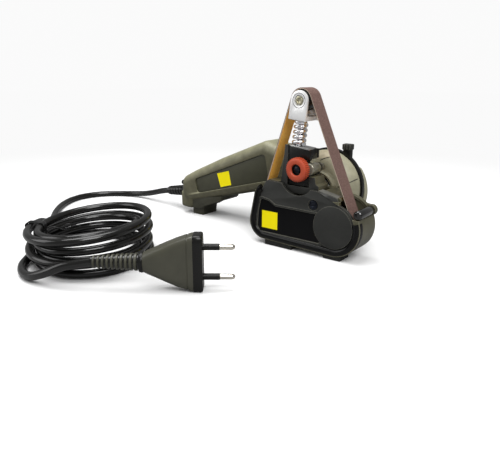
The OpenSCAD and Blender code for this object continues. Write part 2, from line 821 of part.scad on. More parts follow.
module tension_fork() {
    placed() color(steel) on_arm() translate([0, fork_y, 0]) difference() {
        union() {
            translate([-6, -fork_gap - 2, fork_z]) cube([12, 2 * fork_gap + 4, 3]);
            for (y = [-fork_gap - 2, fork_gap])
                along_y(y, y + 2) hull() {
                    translate([0, arm_len]) circle(6.8);
                    translate([-7, fork_z]) square([14, 4]);
                }
        }
        translate([0, 0, arm_len]) rotate([90, 0, 0]) cylinder(r = 2.53, h = 40, center = true);
        rod_y(0, arm_len, 3.6, -fork_gap - 3, -fork_gap - 1);
    }
}

module top_axle() {
    placed() color([0.7, 0.6, 0.35]) on_arm() translate([0, fork_y, arm_len]) difference() {
        union() {
            rod_y(0, 0, 2.5, -fork_gap - 1.2, fork_gap + 4.5);
            along_y(-fork_gap - 1.8, -fork_gap - 1.05) circle(3.2, $fn = 6);
            along_y(fork_gap + 2.05, fork_gap + 4.5) circle(4, $fn = 6);
        }
        along_y(-fork_gap - 3, -fork_gap - 1.3) circle(1.6, $fn = 6);
    }
}

module top_pulley() {
    placed() color(black) on_arm() translate([0, -arm_y, arm_len]) crowned(0, 0, top_r, 2.54);
}

// Mains lead
module ribbed_taper(length, big, small, ribs, root) {
    step = length / (ribs + 0.5);
    rotate_extrude() polygon(concat(root,
        [for (i = [0 : ribs - 1]) let (r = big + (small - big) * (i + 1) / (ribs + 0.5))
            each [[r + 0.3, (i + 0.5) * step], [r + 0.3, (i + 1) * step], [r - 0.5, (i + 1.02) * step],
                [r - 0.5, (i + 1.4) * step]]],
        [[small, length], [0, length]]));
}

gland_dir = [-cos(gland_drop), 0, -sin(gland_drop)];
gland_from = [-handle_reach, 0, gland_z];

// The gland's rounded root sits in the hole of the end cap
module cord_gland() {
    placed() color(black) translate(gland_from) rotate([0, -90 - gland_drop, 0]) translate([0, 0, 2.35])
        ribbed_taper(gland_len - 2.35, 5.2, 4, 6, [for (a = [-90 : 15 : 0]) 4.6 * [cos(a), sin(a)]]);
}

// Coil: four layers, spiralling in and out, that climb down a layer at each reversal
function coil_level(t) = let (f = function (s) s <= 0 ? 0 : s >= 1 ? 1 : s * s * (3 - 2 * s))
    f((t - 1.25) / 0.5) + f((t - 2.75) / 0.5) + f((t - 4.25) / 0.5);
function coil_inset(t) = t < 1.25 ? t : t < 1.75 ? 1.25 + 0.16 * sin(360 * (t - 1.25)) :
    t < 2.75 ? 3 - t : t < 3.25 ? 0.25 - 0.16 * sin(360 * (t - 2.75)) :
    t < 4.25 ? t - 3 : t < 4.75 ? 1.25 + 0.16 * sin(360 * (t - 4.25)) : 6 - t;
function coil_point(t) = let (a = 180 + 360 * t, open = (1 + cos(a)) / 2,
    off = -(coil_pitch + coil_fan * open) * coil_inset(t),
    x = (coil_a + off) * cos(a), y = (coil_b + off) * sin(a))
    [coil_at[0] + x * cos(lay_turn) - y * sin(lay_turn), coil_at[1] + x * sin(lay_turn) + y * cos(lay_turn),
        coil_z0 - 1.1 * open + (coil_lift + coil_rise * open) * (3 - coil_level(t))];
coil_steps = coil_turns * 24;
coil_path = [for (i = [0 : coil_steps]) coil_point(i / 24)];
echo(coil_gap = least_gap(coil_path, 12) - cord_d);
along_lay = [cos(lay_turn), sin(lay_turn), 0];
coil_dir = [sin(lay_turn), -cos(lay_turn), 0];
lead_path = concat([gland_from + gland_len * gland_dir + [0, 0, rise]], lead_mid, [coil_path[0]]);
tail_path = concat([coil_path[coil_steps]], tail_mid,
    [[plug_at[0], plug_at[1], plug_w / 2] - relief_len * along_lay]);

module cord_lead() {
    grounded() color(black) route_tube(lead_path, cord_r, 10, gland_dir, coil_dir);
}

module cord_coil() {
    grounded() color(black) route_tube(coil_path, cord_r, 6, coil_dir, coil_dir);
}

module cord_tail() {
    grounded() color(black) route_tube(tail_path, cord_r, 10, coil_dir, along_lay);
}

// Tie round all the turns at the left end of the coil
module cord_tie() {
    mid = -(coil_a - coil_pitch * 0.5);
    wide = coil_pitch + cord_d + 1.7;
    tall = coil_lift * 3 + cord_d + 0.9;
    grounded() color(black) translate([coil_at[0], coil_at[1], 0]) rotate([0, 0, lay_turn])
        translate([mid, -3, coil_z0 + coil_lift * 1.5 + 0.1]) rotate([90, 0, 0])
            linear_extrude(6, center = true) difference() {
                offset(r = 3.6, $fn = 32) square([wide - 5.6, tall - 5.6], center = true);
                offset(r = 2.8, $fn = 32) square([wide - 5.6, tall - 5.6], center = true);
            }
}

module plug_body() {
    half = plug_w / 2;
    grounded() color(black) at_plug() {
        along_y(-plug_t / 2, plug_t / 2) offset(r = 3, $fn = 32) offset(delta = -3)
            polygon([[0, -8], [0, 8], [12, 10], [20, half], [plug_len, half], [plug_len, -half], [20, -half],
                [12, -10]]);
    }
}

module plug_relief() {
    grounded() color(black) at_plug() translate([-0.02, 0, 0]) rotate([0, -90, 0])
        ribbed_taper(relief_len - 0.02, 5.4, 3.3, 9, [[0, 0], [5.4, 0]]);
}

module plug_pins() {
    grounded() color(steel) at_plug() for (s = [-1, 1])
        translate([plug_len, 0, s * pin_gap / 2]) rotate([0, 90, 0]) rotate_extrude()
            polygon([[0, 0.02], [2, 0.02], [2, pin_len - 1], [1.2, pin_len], [0, pin_len]]);
}

head_front();
head_rear();
locking_ring();
head_foot();
handle_front();
handle_rear();
handle_panel();
handle_foot();
handle_screws();
end_cap();
trigger();
trigger_pin();
switch_body();
motor_can();
motor_endplate();
motor_magnets();
brush_holders();
carbon_brushes();
motor_bearings();
motor_shaft();
rotor_core();
commutator();
cooling_fan();
pinion();
cassette_housing();
cassette_cover();
label_plate();
label_patch();
cover_screw();
cassette_feet();
guide_post();
drive_pulley();
idler_gear();
drive_gear();
drive_shaft();
drive_bearings();
low_pulley();
low_pin();
belt();
arm_tower();
arm_carriage();
carriage_pin();
tracking_sleeve();
tracking_ring();
tracking_screw();
tracking_knob();
spring_washer();
tension_spring();
tension_rod();
tension_fork();
top_axle();
top_pulley();
cord_gland();
cord_lead();
cord_coil();
cord_tail();
cord_tie();
plug_body();
plug_relief();
plug_pins();
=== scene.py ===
# Looks of the hand-held belt sharpener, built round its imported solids.
import json
import math

import bmesh
import bpy
from mathutils import Matrix, Vector


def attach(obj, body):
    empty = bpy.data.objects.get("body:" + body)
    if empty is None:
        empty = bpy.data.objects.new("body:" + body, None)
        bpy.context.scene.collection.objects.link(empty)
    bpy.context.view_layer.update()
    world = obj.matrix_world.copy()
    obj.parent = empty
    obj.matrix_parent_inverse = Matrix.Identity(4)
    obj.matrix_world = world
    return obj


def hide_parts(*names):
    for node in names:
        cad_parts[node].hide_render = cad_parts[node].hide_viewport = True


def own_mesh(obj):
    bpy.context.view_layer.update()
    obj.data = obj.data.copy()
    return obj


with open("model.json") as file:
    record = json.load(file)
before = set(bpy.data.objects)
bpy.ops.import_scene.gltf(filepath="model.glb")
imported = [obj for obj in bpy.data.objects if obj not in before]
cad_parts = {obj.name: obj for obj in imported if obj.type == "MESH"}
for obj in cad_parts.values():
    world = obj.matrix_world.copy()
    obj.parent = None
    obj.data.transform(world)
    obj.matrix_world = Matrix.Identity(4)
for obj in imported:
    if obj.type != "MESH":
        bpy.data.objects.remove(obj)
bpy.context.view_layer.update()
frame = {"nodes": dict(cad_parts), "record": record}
NODES = frame["nodes"]

MM = 0.001
SHIFT_X, SHIFT_Y, AXIS_Z = 50.05, 13.5, 42.7


def at(x, y, z):
    """A point of the drawing, in millimetres from the motor's axis, in the frame's metres."""
    return Vector(((x + SHIFT_X) * MM, (y + SHIFT_Y) * MM, z * MM))


def make_camera():
    """The camera, set by its place and its three directions."""
    right = Vector((0.7866, 0.6175, 0.0018))
    up = Vector((-0.1753, 0.2205, 0.9595))
    forward = Vector((-0.5921, 0.7551, -0.2817))
    place = at(185.2, -337.9, 122.4)
    data = bpy.data.cameras.new("camera")
    data.sensor_width = 36
    data.lens = 36.36
    data.shift_x = 0.006
    data.clip_start = 0.01
    camera = bpy.data.objects.new("camera", data)
    bpy.context.scene.collection.objects.link(camera)
    turn = Matrix((right, up, -forward)).transposed().to_4x4()
    camera.matrix_world = Matrix.Translation(place) @ turn
    bpy.context.scene.camera = camera


make_camera()


def shader_group(name, inputs, outputs):
    """An empty shader group with named sockets: (name, kind, default)."""
    tree = bpy.data.node_groups.new(name, "ShaderNodeTree")
    for label, kind, default in inputs:
        socket = tree.interface.new_socket(label, in_out="INPUT", socket_type=kind)
        if default is not None:
            socket.default_value = default
    for label, kind in outputs:
        tree.interface.new_socket(label, in_out="OUTPUT", socket_type=kind)
    return tree, tree.nodes.new("NodeGroupInput"), tree.nodes.new("NodeGroupOutput")


def math_node(tree, operation, a, b):
    """One step of arithmetic on two values, each one a number or another node's output."""
    node = tree.nodes.new("ShaderNodeMath")
    node.operation = operation
    for socket, value in zip(node.inputs, (a, b)):
        if isinstance(value, (int, float)):
            socket.default_value = value
        else:
            tree.links.new(value, socket)
    return node.outputs[0]


# shares of the grain: cells to each bump of the noise, and how deep the cells are beside it
CELLS_PER_BUMP, CELL_DEPTH = 1.4, 0.6
# a bevelled normal agrees with the plain one on a flat face, and less on an edge
FLAT_AGREE, EDGE_AGREE = 0.985, 0.8
# where most of a noise lies
NOISE_LOW, NOISE_HIGH = 0.3, 0.7
ROUGH_SPREAD = 0.08
# the colour sockets of a Mix node
MIX_FIRST, MIX_SECOND, MIX_RESULT = 6, 7, 2


def moulded_grain_group():
    """Fine moulded grain, with slow patches of tone."""
    tree, given, result = shader_group(
        "moulded_grain",
        [("Vector", "NodeSocketVector", None), ("Grain", "NodeSocketFloat", 900.0),
         ("Patch", "NodeSocketFloat", 60.0)],
        [("Tint", "NodeSocketFloat"), ("Height", "NodeSocketFloat")],
    )
    noise = tree.nodes.new("ShaderNodeTexNoise")
    noise.inputs["Detail"].default_value = 3
    cells = tree.nodes.new("ShaderNodeTexVoronoi")
    patch = tree.nodes.new("ShaderNodeTexNoise")
    patch.inputs["Detail"].default_value = 5
    patch.inputs["Roughness"].default_value = 0.62
    for node in (noise, cells, patch):
        tree.links.new(given.outputs["Vector"], node.inputs["Vector"])
    tree.links.new(given.outputs["Grain"], noise.inputs["Scale"])
    tree.links.new(math_node(tree, "MULTIPLY", given.outputs["Grain"], CELLS_PER_BUMP), cells.inputs["Scale"])
    tree.links.new(given.outputs["Patch"], patch.inputs["Scale"])
    pits = math_node(tree, "MULTIPLY", cells.outputs["Distance"], CELL_DEPTH)
    height = math_node(tree, "ADD", noise.outputs[0], pits)
    tree.links.new(patch.outputs[0], result.inputs["Tint"])
    tree.links.new(height, result.inputs["Height"])
    return tree


def edge_highlight_group():
    """A share that rises at sharp outer and inner edges, for a painted highlight along a moulding's edges."""
    tree, given, result = shader_group("painted_edge_highlight", [("Radius", "NodeSocketFloat", 0.0005)],
                                       [("Share", "NodeSocketFloat")])
    rounded = tree.nodes.new("ShaderNodeBevel")
    rounded.samples = 6
    tree.links.new(given.outputs["Radius"], rounded.inputs["Radius"])
    plain = tree.nodes.new("ShaderNodeNewGeometry")
    agree = tree.nodes.new("ShaderNodeVectorMath")
    agree.operation = "DOT_PRODUCT"
    tree.links.new(rounded.outputs[0], agree.inputs[0])
    tree.links.new(plain.outputs["Normal"], agree.inputs[1])
    share = tree.nodes.new("ShaderNodeMapRange")
    share.inputs["From Min"].default_value = FLAT_AGREE
    share.inputs["From Max"].default_value = EDGE_AGREE
    tree.links.new(agree.outputs["Value"], share.inputs["Value"])
    tree.links.new(share.outputs[0], result.inputs["Share"])
    return tree


GRAIN, EDGE_HIGHLIGHT = moulded_grain_group(), edge_highlight_group()


def spread(nodes, links, value, low, high):
    """Maps the middle of a noise to a range."""
    node = nodes.new("ShaderNodeMapRange")
    node.inputs["From Min"].default_value = NOISE_LOW
    node.inputs["From Max"].default_value = NOISE_HIGH
    node.inputs["To Min"].default_value = low
    node.inputs["To Max"].default_value = high
    links.new(value, node.inputs["Value"])
    return node.outputs[0]


def two_tone(nodes, links, share, first, second):
    """A colour between two, each one three numbers or another node's output."""
    node = nodes.new("ShaderNodeMix")
    node.data_type = "RGBA"
    links.new(share, node.inputs[0])
    for index, colour in ((MIX_FIRST, first), (MIX_SECOND, second)):
        if isinstance(colour, (tuple, list)):
            node.inputs[index].default_value = (*colour, 1)
        else:
            links.new(colour, node.inputs[index])
    return node.outputs[MIX_RESULT]


def finish(name, colour, rough, grain=900.0, depth=0.12, patch=60.0, tint=0.15, metallic=0.0, coat=0.0,
           specular=0.35, stretch=(1, 1, 1), relief=0.00008, edge=None, lit_top=None):
    """A finish with grain, patchy tone and patchy gloss; where given, painted light that makes upward faces lighter,
    and painted highlights along sharp edges.
    """
    material = bpy.data.materials.new(name)
    material.use_nodes = True
    nodes, links = material.node_tree.nodes, material.node_tree.links
    shader = nodes["Principled BSDF"]
    place = nodes.new("ShaderNodeTexCoord")
    turn = nodes.new("ShaderNodeMapping")
    turn.inputs["Scale"].default_value = stretch
    links.new(place.outputs["Object"], turn.inputs["Vector"])
    grained = nodes.new("ShaderNodeGroup")
    grained.node_tree = GRAIN
    grained.inputs["Grain"].default_value = grain
    grained.inputs["Patch"].default_value = patch
    links.new(turn.outputs[0], grained.inputs["Vector"])
    share = spread(nodes, links, grained.outputs["Tint"], 0, 1)

    def patchy(base):
        return two_tone(nodes, links, share, [c * (1 - tint) for c in base], [min(1, c * (1 + tint)) for c in base])

    tone = patchy(colour)
    # painted light: faces that turn up blend towards a lighter colour, as if lit from above
    if lit_top:
        facing = nodes.new("ShaderNodeSeparateXYZ")
        links.new(nodes.new("ShaderNodeNewGeometry").outputs["Normal"], facing.inputs[0])
        upward = math_node(material.node_tree, "MAXIMUM", facing.outputs["Z"], 0.0)
        tone = two_tone(nodes, links, upward, tone, patchy(lit_top))
    # painted highlight: sharp edges blend towards a lighter colour
    if edge:
        highlight_share = nodes.new("ShaderNodeGroup")
        highlight_share.node_tree = EDGE_HIGHLIGHT
        tone = two_tone(nodes, links, highlight_share.outputs["Share"], tone, edge)
    links.new(tone, shader.inputs["Base Color"])
    links.new(spread(nodes, links, grained.outputs["Tint"], rough + ROUGH_SPREAD, rough - ROUGH_SPREAD),
              shader.inputs["Roughness"])
    bump = nodes.new("ShaderNodeBump")
    bump.inputs["Strength"].default_value = depth
    bump.inputs["Distance"].default_value = relief
    links.new(grained.outputs["Height"], bump.inputs["Height"])
    links.new(bump.outputs[0], shader.inputs["Normal"])
    shader.inputs["Metallic"].default_value = metallic
    shader.inputs["Specular IOR Level"].default_value = specular
    shader.inputs["Coat Weight"].default_value = coat
    shader.inputs["Coat Roughness"].default_value = 0.12
    return material


# the handle's upward faces get painted light: a lighter olive where the light from above falls
OLIVE = finish("olive_moulding", (0.09, 0.085, 0.05), 0.44, depth=0.5, patch=150, tint=0.2,
               lit_top=(0.27, 0.262, 0.168))
PAD = finish("dark_olive_pad", (0.036, 0.035, 0.022), 0.5, depth=0.5, tint=0.2)
# painted light: the head takes a lighter copy of the handle's olive, for the key light falling on its shoulder
SHOULDER = finish("lit_olive_moulding", (0.3, 0.287, 0.2), 0.42, depth=0.5, patch=140, tint=0.16)
# the edge colours of the cover and the side wall are painted highlights along their sharp edges
CHARCOAL = finish("charcoal_moulding", (0.019, 0.0195, 0.0175), 0.46, depth=0.6, tint=0.22,
                  edge=(0.16, 0.155, 0.125))
SATIN = finish("satin_side_wall", (0.075, 0.071, 0.042), 0.34, depth=0.15, specular=0.42,
               edge=(0.22, 0.21, 0.15))
GLOSS = finish("gloss_black_rim", (0.002, 0.002, 0.002), 0.22, depth=0.04, specular=0.22)
POST = finish("gloss_black_post", (0.003, 0.003, 0.003), 0.14, depth=0.03, coat=0.5, specular=0.5)
BLACK = finish("black_moulding", (0.006, 0.006, 0.0055), 0.28, depth=0.2, specular=0.28)
PANEL = finish("dark_panel", (0.041, 0.0405, 0.024), 0.44, depth=0.25)
LABEL = finish("plain_label", (0.0035, 0.0035, 0.004), 0.34, grain=300, depth=0.03, specular=0.1)
YELLOW = finish("yellow_patch", (0.93, 0.79, 0.0), 0.42, depth=0.03, tint=0.03, specular=0.2)
RUBBER = finish("rubber_feet", (0.012, 0.012, 0.011), 0.72, depth=0.5, grain=500)
CORD = finish("cord_jacket", (0.005, 0.005, 0.0045), 0.2, depth=0.06, patch=25, specular=0.5)
PLUG = finish("plug_moulding", (0.05, 0.049, 0.034), 0.34, depth=0.3, tint=0.16, specular=0.5)
RED = finish("red_knob_moulding", (0.41, 0.063, 0.027), 0.42, depth=0.12, tint=0.08)
ALLOY = finish("bright_alloy", (0.92, 0.92, 0.92), 0.36, grain=500, depth=0.06, tint=0.05, metallic=0.5)
STEEL = finish("turned_steel", (0.62, 0.62, 0.61), 0.26, grain=700, depth=0.06, metallic=1.0, stretch=(1, 0.05, 1))
# painted shade: a dark line for the shade in the turned groove on the fork
DARK_LINE = finish("groove_shade_line", (0.05, 0.05, 0.055), 0.3, depth=0.05, metallic=0.8)
ROD = finish("bright_rod", (0.78, 0.79, 0.83), 0.24, depth=0.03, tint=0.05, metallic=0.9)
CHROME = finish("spring_wire", (0.86, 0.86, 0.88), 0.2, depth=0.03, tint=0.05, metallic=1.0)
BRASS = finish("dull_brass", (0.5, 0.47, 0.34), 0.3, depth=0.08, metallic=1.0)
GREY_METAL = finish("grey_sleeve", (0.2, 0.195, 0.155), 0.2, depth=0.08, metallic=0.4, specular=0.5)
COPPER = finish("copper_bars", (0.7, 0.36, 0.16), 0.3, depth=0.05, metallic=1.0)
MAGNET = finish("sintered_grey", (0.08, 0.08, 0.085), 0.6, depth=0.4)
PHENOLIC = finish("brown_phenolic", (0.16, 0.08, 0.035), 0.5, depth=0.3)
NICKEL = finish("nickel_pins", (0.74, 0.7, 0.62), 0.16, depth=0.03, metallic=1.0)
LEDGE = finish("grey_textured_ledge", (0.13, 0.13, 0.118), 0.5, grain=420, depth=0.8, tint=0.3)
# painted light: a lighter colour for the head's flat facet, which catches more light than the round shoulder
BEIGE = finish("lit_facet_band", (0.34, 0.295, 0.195), 0.5, depth=0.3, patch=160, tint=0.2)
DARK_STEEL = finish("blued_screw", (0.03, 0.034, 0.045), 0.3, depth=0.05, metallic=1.0)
GROOVE = finish("crease_shadow", (0.02, 0.02, 0.016), 0.6, depth=0.05)
WIRE = finish("tie_wire", (0.008, 0.008, 0.008), 0.3, depth=0.05)
GRIT = finish("abrasive_grit", (0.15, 0.088, 0.073), 0.78, grain=1500, depth=0.9, patch=1300, tint=0.42,
              relief=0.00025)
BELT_EDGE = finish("belt_cut_edge", (0.42, 0.34, 0.27), 0.8, depth=0.3, tint=0.2)


def woven_cloth():
    """Tan backing cloth: threads run along and across the belt."""
    material = bpy.data.materials.new("belt_backing_cloth")
    material.use_nodes = True
    nodes, links = material.node_tree.nodes, material.node_tree.links
    shader = nodes["Principled BSDF"]
    threads_scale, weave_share, streak_share = 420, 0.35, 0.65
    dark_tan, light_tan = (0.95, 0.4, 0.035), (1.0, 0.64, 0.16)
    place = nodes.new("ShaderNodeTexCoord")
    heights = []
    for direction in ("X", "Y"):
        threads = nodes.new("ShaderNodeTexWave")
        threads.bands_direction = direction
        threads.inputs["Scale"].default_value = threads_scale
        threads.inputs["Distortion"].default_value = 0.6
        links.new(place.outputs["UV"], threads.inputs["Vector"])
        heights.append(threads.outputs["Fac"])
    weave = math_node(material.node_tree, "MULTIPLY", *heights)
    streaks = nodes.new("ShaderNodeTexNoise")
    streaks.inputs["Scale"].default_value = 160
    streaks.inputs["Detail"].default_value = 4
    links.new(place.outputs["UV"], streaks.inputs["Vector"])
    share = math_node(material.node_tree, "ADD", math_node(material.node_tree, "MULTIPLY", weave, weave_share),
                      math_node(material.node_tree, "MULTIPLY", streaks.outputs[0], streak_share))
    links.new(two_tone(nodes, links, share, dark_tan, light_tan), shader.inputs["Base Color"])
    shader.inputs["Roughness"].default_value = 0.72
    bump = nodes.new("ShaderNodeBump")
    bump.inputs["Strength"].default_value = 0.5
    bump.inputs["Distance"].default_value = 0.0002
    links.new(weave, bump.inputs["Height"])
    links.new(bump.outputs[0], shader.inputs["Normal"])
    return material


CLOTH = woven_cloth()

NODE_FINISH = {
    OLIVE: "handle_front handle_rear",
    SHOULDER: "head_front head_rear",
    CHARCOAL: "cassette_cover",
    SATIN: "cassette_housing arm_tower",
    BLACK: "locking_ring end_cap trigger switch_body arm_carriage tracking_ring top_pulley cooling_fan",
    POST: "guide_post",
    PANEL: "handle_panel",
    LABEL: "label_plate",
    YELLOW: "label_patch",
    RUBBER: "head_foot cassette_feet",
    PAD: "handle_foot",
    CORD: "cord_gland cord_lead cord_coil cord_tail cord_tie plug_relief",
    PLUG: "plug_body",
    RED: "tracking_knob",
    ALLOY: "tension_fork",
    STEEL: "handle_screws trigger_pin motor_can motor_bearings motor_shaft rotor_core pinion "
           "drive_pulley drive_shaft drive_bearings low_pulley low_pin carriage_pin spring_washer",
    ROD: "tension_rod",
    CHROME: "tension_spring",
    DARK_STEEL: "tracking_screw cover_screw",
    GRIT: "belt",
    BRASS: "top_axle idler_gear drive_gear",
    GREY_METAL: "tracking_sleeve",
    COPPER: "commutator",
    MAGNET: "motor_magnets motor_endplate carbon_brushes",
    PHENOLIC: "brush_holders",
    NICKEL: "plug_pins",
}
FINISH_OF = {node: material for material, names in NODE_FINISH.items() for node in names.split()}
for node, material in FINISH_OF.items():
    NODES[node].data.materials.clear()
    NODES[node].data.materials.append(material)


def new_piece(name, mesh, body, slot, *stands_for):
    """A piece that rides on a body, in place of the solids that it stands for, which it hides; its slot is not used.
    """
    piece = bpy.data.objects.new(name, mesh)
    bpy.context.scene.collection.objects.link(piece)
    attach(piece, body)
    if stands_for:
        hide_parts(*stands_for)
    return piece


def mesh_of(name, points, faces, *materials):
    """A mesh from points and faces, with its finishes."""
    mesh = bpy.data.meshes.new(name)
    mesh.from_pydata(points, [], faces)
    for material in materials:
        mesh.materials.append(material)
    return mesh


def smooth_by_angle(mesh, degrees):
    """Smooth shading, but for edges sharper than an angle."""
    for polygon in mesh.polygons:
        polygon.use_smooth = True
    mesh.set_sharp_from_angle(angle=math.radians(degrees))


def evaluated_mesh(holder):
    """A plain mesh of what an object's modifiers make."""
    return bpy.data.meshes.new_from_object(holder.evaluated_get(bpy.context.evaluated_depsgraph_get()))


def cube_shape(low, high):
    """A box between two corners."""
    shape = bmesh.new()
    bmesh.ops.create_cube(shape, size=1)
    for corner in shape.verts:
        corner.co = Vector(low[k] if corner.co[k] < 0 else high[k] for k in range(3))
    return shape


def less_box(shape, low, high):
    """Takes what lies in a box out of a shape, its corners in millimetres of the drawing."""
    box = cube_shape(at(*low), at(*high))
    holders = []
    for source in (shape, box):
        holders.append(bpy.data.objects.new("trim_holder", bpy.data.meshes.new("trim_holder")))
        source.to_mesh(holders[-1].data)
        bpy.context.scene.collection.objects.link(holders[-1])
    box.free()
    cut = holders[0].modifiers.new("trim", "BOOLEAN")
    cut.operation, cut.solver, cut.object = "DIFFERENCE", "EXACT", holders[1]
    mesh = evaluated_mesh(holders[0])
    shape.clear()
    shape.from_mesh(mesh)
    bpy.data.meshes.remove(mesh)
    for holder in holders:
        bpy.data.meshes.remove(holder.data)


# the tower's right wall ends below the carriage's shoulder
TRIMMED = {"arm_tower": ((4.7, -45, 67.3), (12, -18, 80))}
# points this near are one, faces this flat are one, edges this sharp are softened: metres, then degrees
MERGE, FLAT, SHARP = 2e-6, 0.6, 32


def dressed(node, bevel):
    """The solid itself with merged points, softened edges and smooth curves."""
    shape = bmesh.new()
    shape.from_mesh(NODES[node].data)
    bmesh.ops.remove_doubles(shape, verts=shape.verts, dist=MERGE)
    if node in TRIMMED:
        less_box(shape, *TRIMMED[node])
    bmesh.ops.dissolve_limit(shape, angle_limit=math.radians(FLAT), verts=shape.verts, edges=shape.edges)
    if bevel:
        sharp = [e for e in shape.edges if len(e.link_faces) == 2 and e.calc_face_angle(0) > math.radians(SHARP)]
        bmesh.ops.bevel(shape, geom=sharp, offset=bevel * MM, segments=2, profile=0.5, affect="EDGES",
                        clamp_overlap=True)
    mesh = bpy.data.meshes.new(node + "_dressed")
    shape.to_mesh(mesh)
    shape.free()
    mesh.materials.append(FINISH_OF[node])
    smooth_by_angle(mesh, SHARP)
    return new_piece(node + "_dressed", mesh, BODY_OF[node], SLOT_OF[node], node)


def painted(piece, material, test):
    """One more finish, on the faces whose middle, in millimetres of the drawing, passes the test."""
    piece.data.materials.append(material)
    for polygon in piece.data.polygons:
        x, y, z = polygon.center / MM
        if test(x - SHIFT_X, y - SHIFT_Y, z):
            polygon.material_index = len(piece.data.materials) - 1


def through(points, parts):
    """A smooth curve through the given points, each span cut into parts."""
    ends = [points[0] * 2 - points[1], *points, points[-1] * 2 - points[-2]]
    route = []
    for a, b, c, d in zip(ends, ends[1:], ends[2:], ends[3:]):
        for k in range(parts):
            t = k / parts
            route.append(0.5 * (2 * b + (c - a) * t + (2 * a - 5 * b + 4 * c - d) * t * t
                                + (3 * b - a - 3 * c + d) * t ** 3))
    route.append(points[-1].copy())
    return route


CORD_D = 5.6
GLAND_FROM, GLAND_LEN, GLAND_DROP = (-148.5, 0, 18.6), 28, math.radians(8)
LAY_TURN = math.radians(38)
COIL_AT, COIL_A, COIL_B = (-108, -138), 42, 49
COIL_PITCH, COIL_LIFT, COIL_Z0 = CORD_D + 0.8, CORD_D + 0.6, CORD_D / 2 + 1.2
# at its open end the coil fans out, rises and starts lower
COIL_FAN, COIL_RISE, COIL_DROP = 2, 2.4, 1.1
COIL_TURNS, STOPS_PER_TURN, CORD_PARTS = 6, 24, 3
# where the coil steps down a layer, the turns that a step takes, and how far it bows there
LAYER_STEPS, STEP_TURNS, STEP_BOW = (1.25, 2.75, 4.25), 0.5, 0.16
PLUG_AT, PLUG_W, RELIEF_LEN = (-36, -156), 35.3, 30
LEAD_MID = [(-187, 0, 12.6), (-199, 0.5, 9.4), (-212, 1.5, 6.2), (-226, 1, 3.9), (-240, -4, 2.9), (-252, -12, 2.8),
            (-261, -24, 2.8), (-265, -39, 2.8), (-262, -54, 2.8), (-254, -68, 2.8), (-243, -81, 2.8),
            (-230, -93, 2.8), (-216, -104, 2.8), (-202, -114, 3.4), (-188, -124, 5.6), (-175, -133, 10),
            (-163, -142, 16), (-152, -151.5, 20.6)]
TAIL_MID = [(-133.5, -173.6, 3.6), (-124, -183.5, 3), (-112, -190, 3), (-99, -192.5, 4.2), (-86, -190, 8.6),
            (-74, -184.4, 14.2)]


def coil_level(t):
    """How many layers down the coil has come after t turns."""
    level = 0
    for start in LAYER_STEPS:
        s = min(1, max(0, (t - start) / STEP_TURNS))
        level += s * s * (3 - 2 * s)
    return level


def coil_inset(t):
    """How many pitches in the coil lies after t turns: it winds in, out, in and out again."""
    inset, since, way = 0.0, 0.0, 1
    for start in LAYER_STEPS:
        if t < start:
            break
        inset += way * (start - since)
        if t < start + STEP_TURNS:
            return inset + way * STEP_BOW * math.sin(math.pi * (t - start) / STEP_TURNS)
        since, way = start + STEP_TURNS, -way
    return inset + way * (t - since)


def coil_point(t):
    """Where the coil lies after t turns."""
    a = math.pi + 2 * math.pi * t
    open_end = (1 + math.cos(a)) / 2
    off = -(COIL_PITCH + COIL_FAN * open_end) * coil_inset(t)
    x, y = (COIL_A + off) * math.cos(a), (COIL_B + off) * math.sin(a)
    return at(COIL_AT[0] + x * math.cos(LAY_TURN) - y * math.sin(LAY_TURN),
              COIL_AT[1] + x * math.sin(LAY_TURN) + y * math.cos(LAY_TURN),
              COIL_Z0 - COIL_DROP * open_end
              + (COIL_LIFT + COIL_RISE * open_end) * (len(LAYER_STEPS) - coil_level(t)))


def lay_cord():
    """The mains cord on one smooth route: from the gland, round the coil and into the plug's relief."""
    start = at(GLAND_FROM[0] - GLAND_LEN * math.cos(GLAND_DROP), 0, GLAND_FROM[2] - GLAND_LEN * math.sin(GLAND_DROP))
    end = at(PLUG_AT[0] - RELIEF_LEN * math.cos(LAY_TURN), PLUG_AT[1] - RELIEF_LEN * math.sin(LAY_TURN), PLUG_W / 2)
    coil = [coil_point(k / STOPS_PER_TURN) for k in range(COIL_TURNS * STOPS_PER_TURN + 1)]
    stops = [start, *(at(*p) for p in LEAD_MID), *coil, *(at(*p) for p in TAIL_MID), end]
    route = through(stops, CORD_PARTS)
    curve = bpy.data.curves.new("mains_cord", "CURVE")
    curve.dimensions = "3D"
    curve.bevel_depth = CORD_D / 2 * MM
    curve.bevel_resolution = 4
    curve.use_fill_caps = True
    spline = curve.splines.new("POLY")
    spline.points.add(len(route) - 1)
    for point, place in zip(spline.points, route):
        point.co = (*place, 1)
    spline.use_smooth = True
    curve.materials.append(CORD)
    length = sum((b - a).length for a, b in zip(route, route[1:]))
    cord = new_piece("mains_cord", curve, "body", "cord", "cord_lead", "cord_coil", "cord_tail")
    return cord, start, length


cord, cord_exit, cord_length = lay_cord()
BODIES = frame["record"]["behaviour"]["bodies"]
BODY_OF = {node: body for body, members in BODIES.items() for node in members}
SLOT_OF = {s["node"]: s["material_slot"] for s in frame["record"]["subparts"]}


def round_steps(count):
    """Cosine and sine of equal steps round a circle."""
    return [(math.cos(2 * math.pi * k / count), math.sin(2 * math.pi * k / count)) for k in range(count)]


def tube_mesh(name, route, radius, sides, material):
    """A round tube along a route, its rings turned as little as possible from one to the next."""
    last = len(route) - 1
    ways = [(route[min(i + 1, last)] - route[max(i - 1, 0)]).normalized() for i in range(last + 1)]
    side = ways[0].orthogonal().normalized()
    rings = []
    for place, way in zip(route, ways):
        side = (side - way * side.dot(way)).normalized()
        other = way.cross(side)
        rings.append([place + (side * c + other * s) * radius * MM for c, s in round_steps(sides)])
    return skin_mesh(name, rings, material, 60)


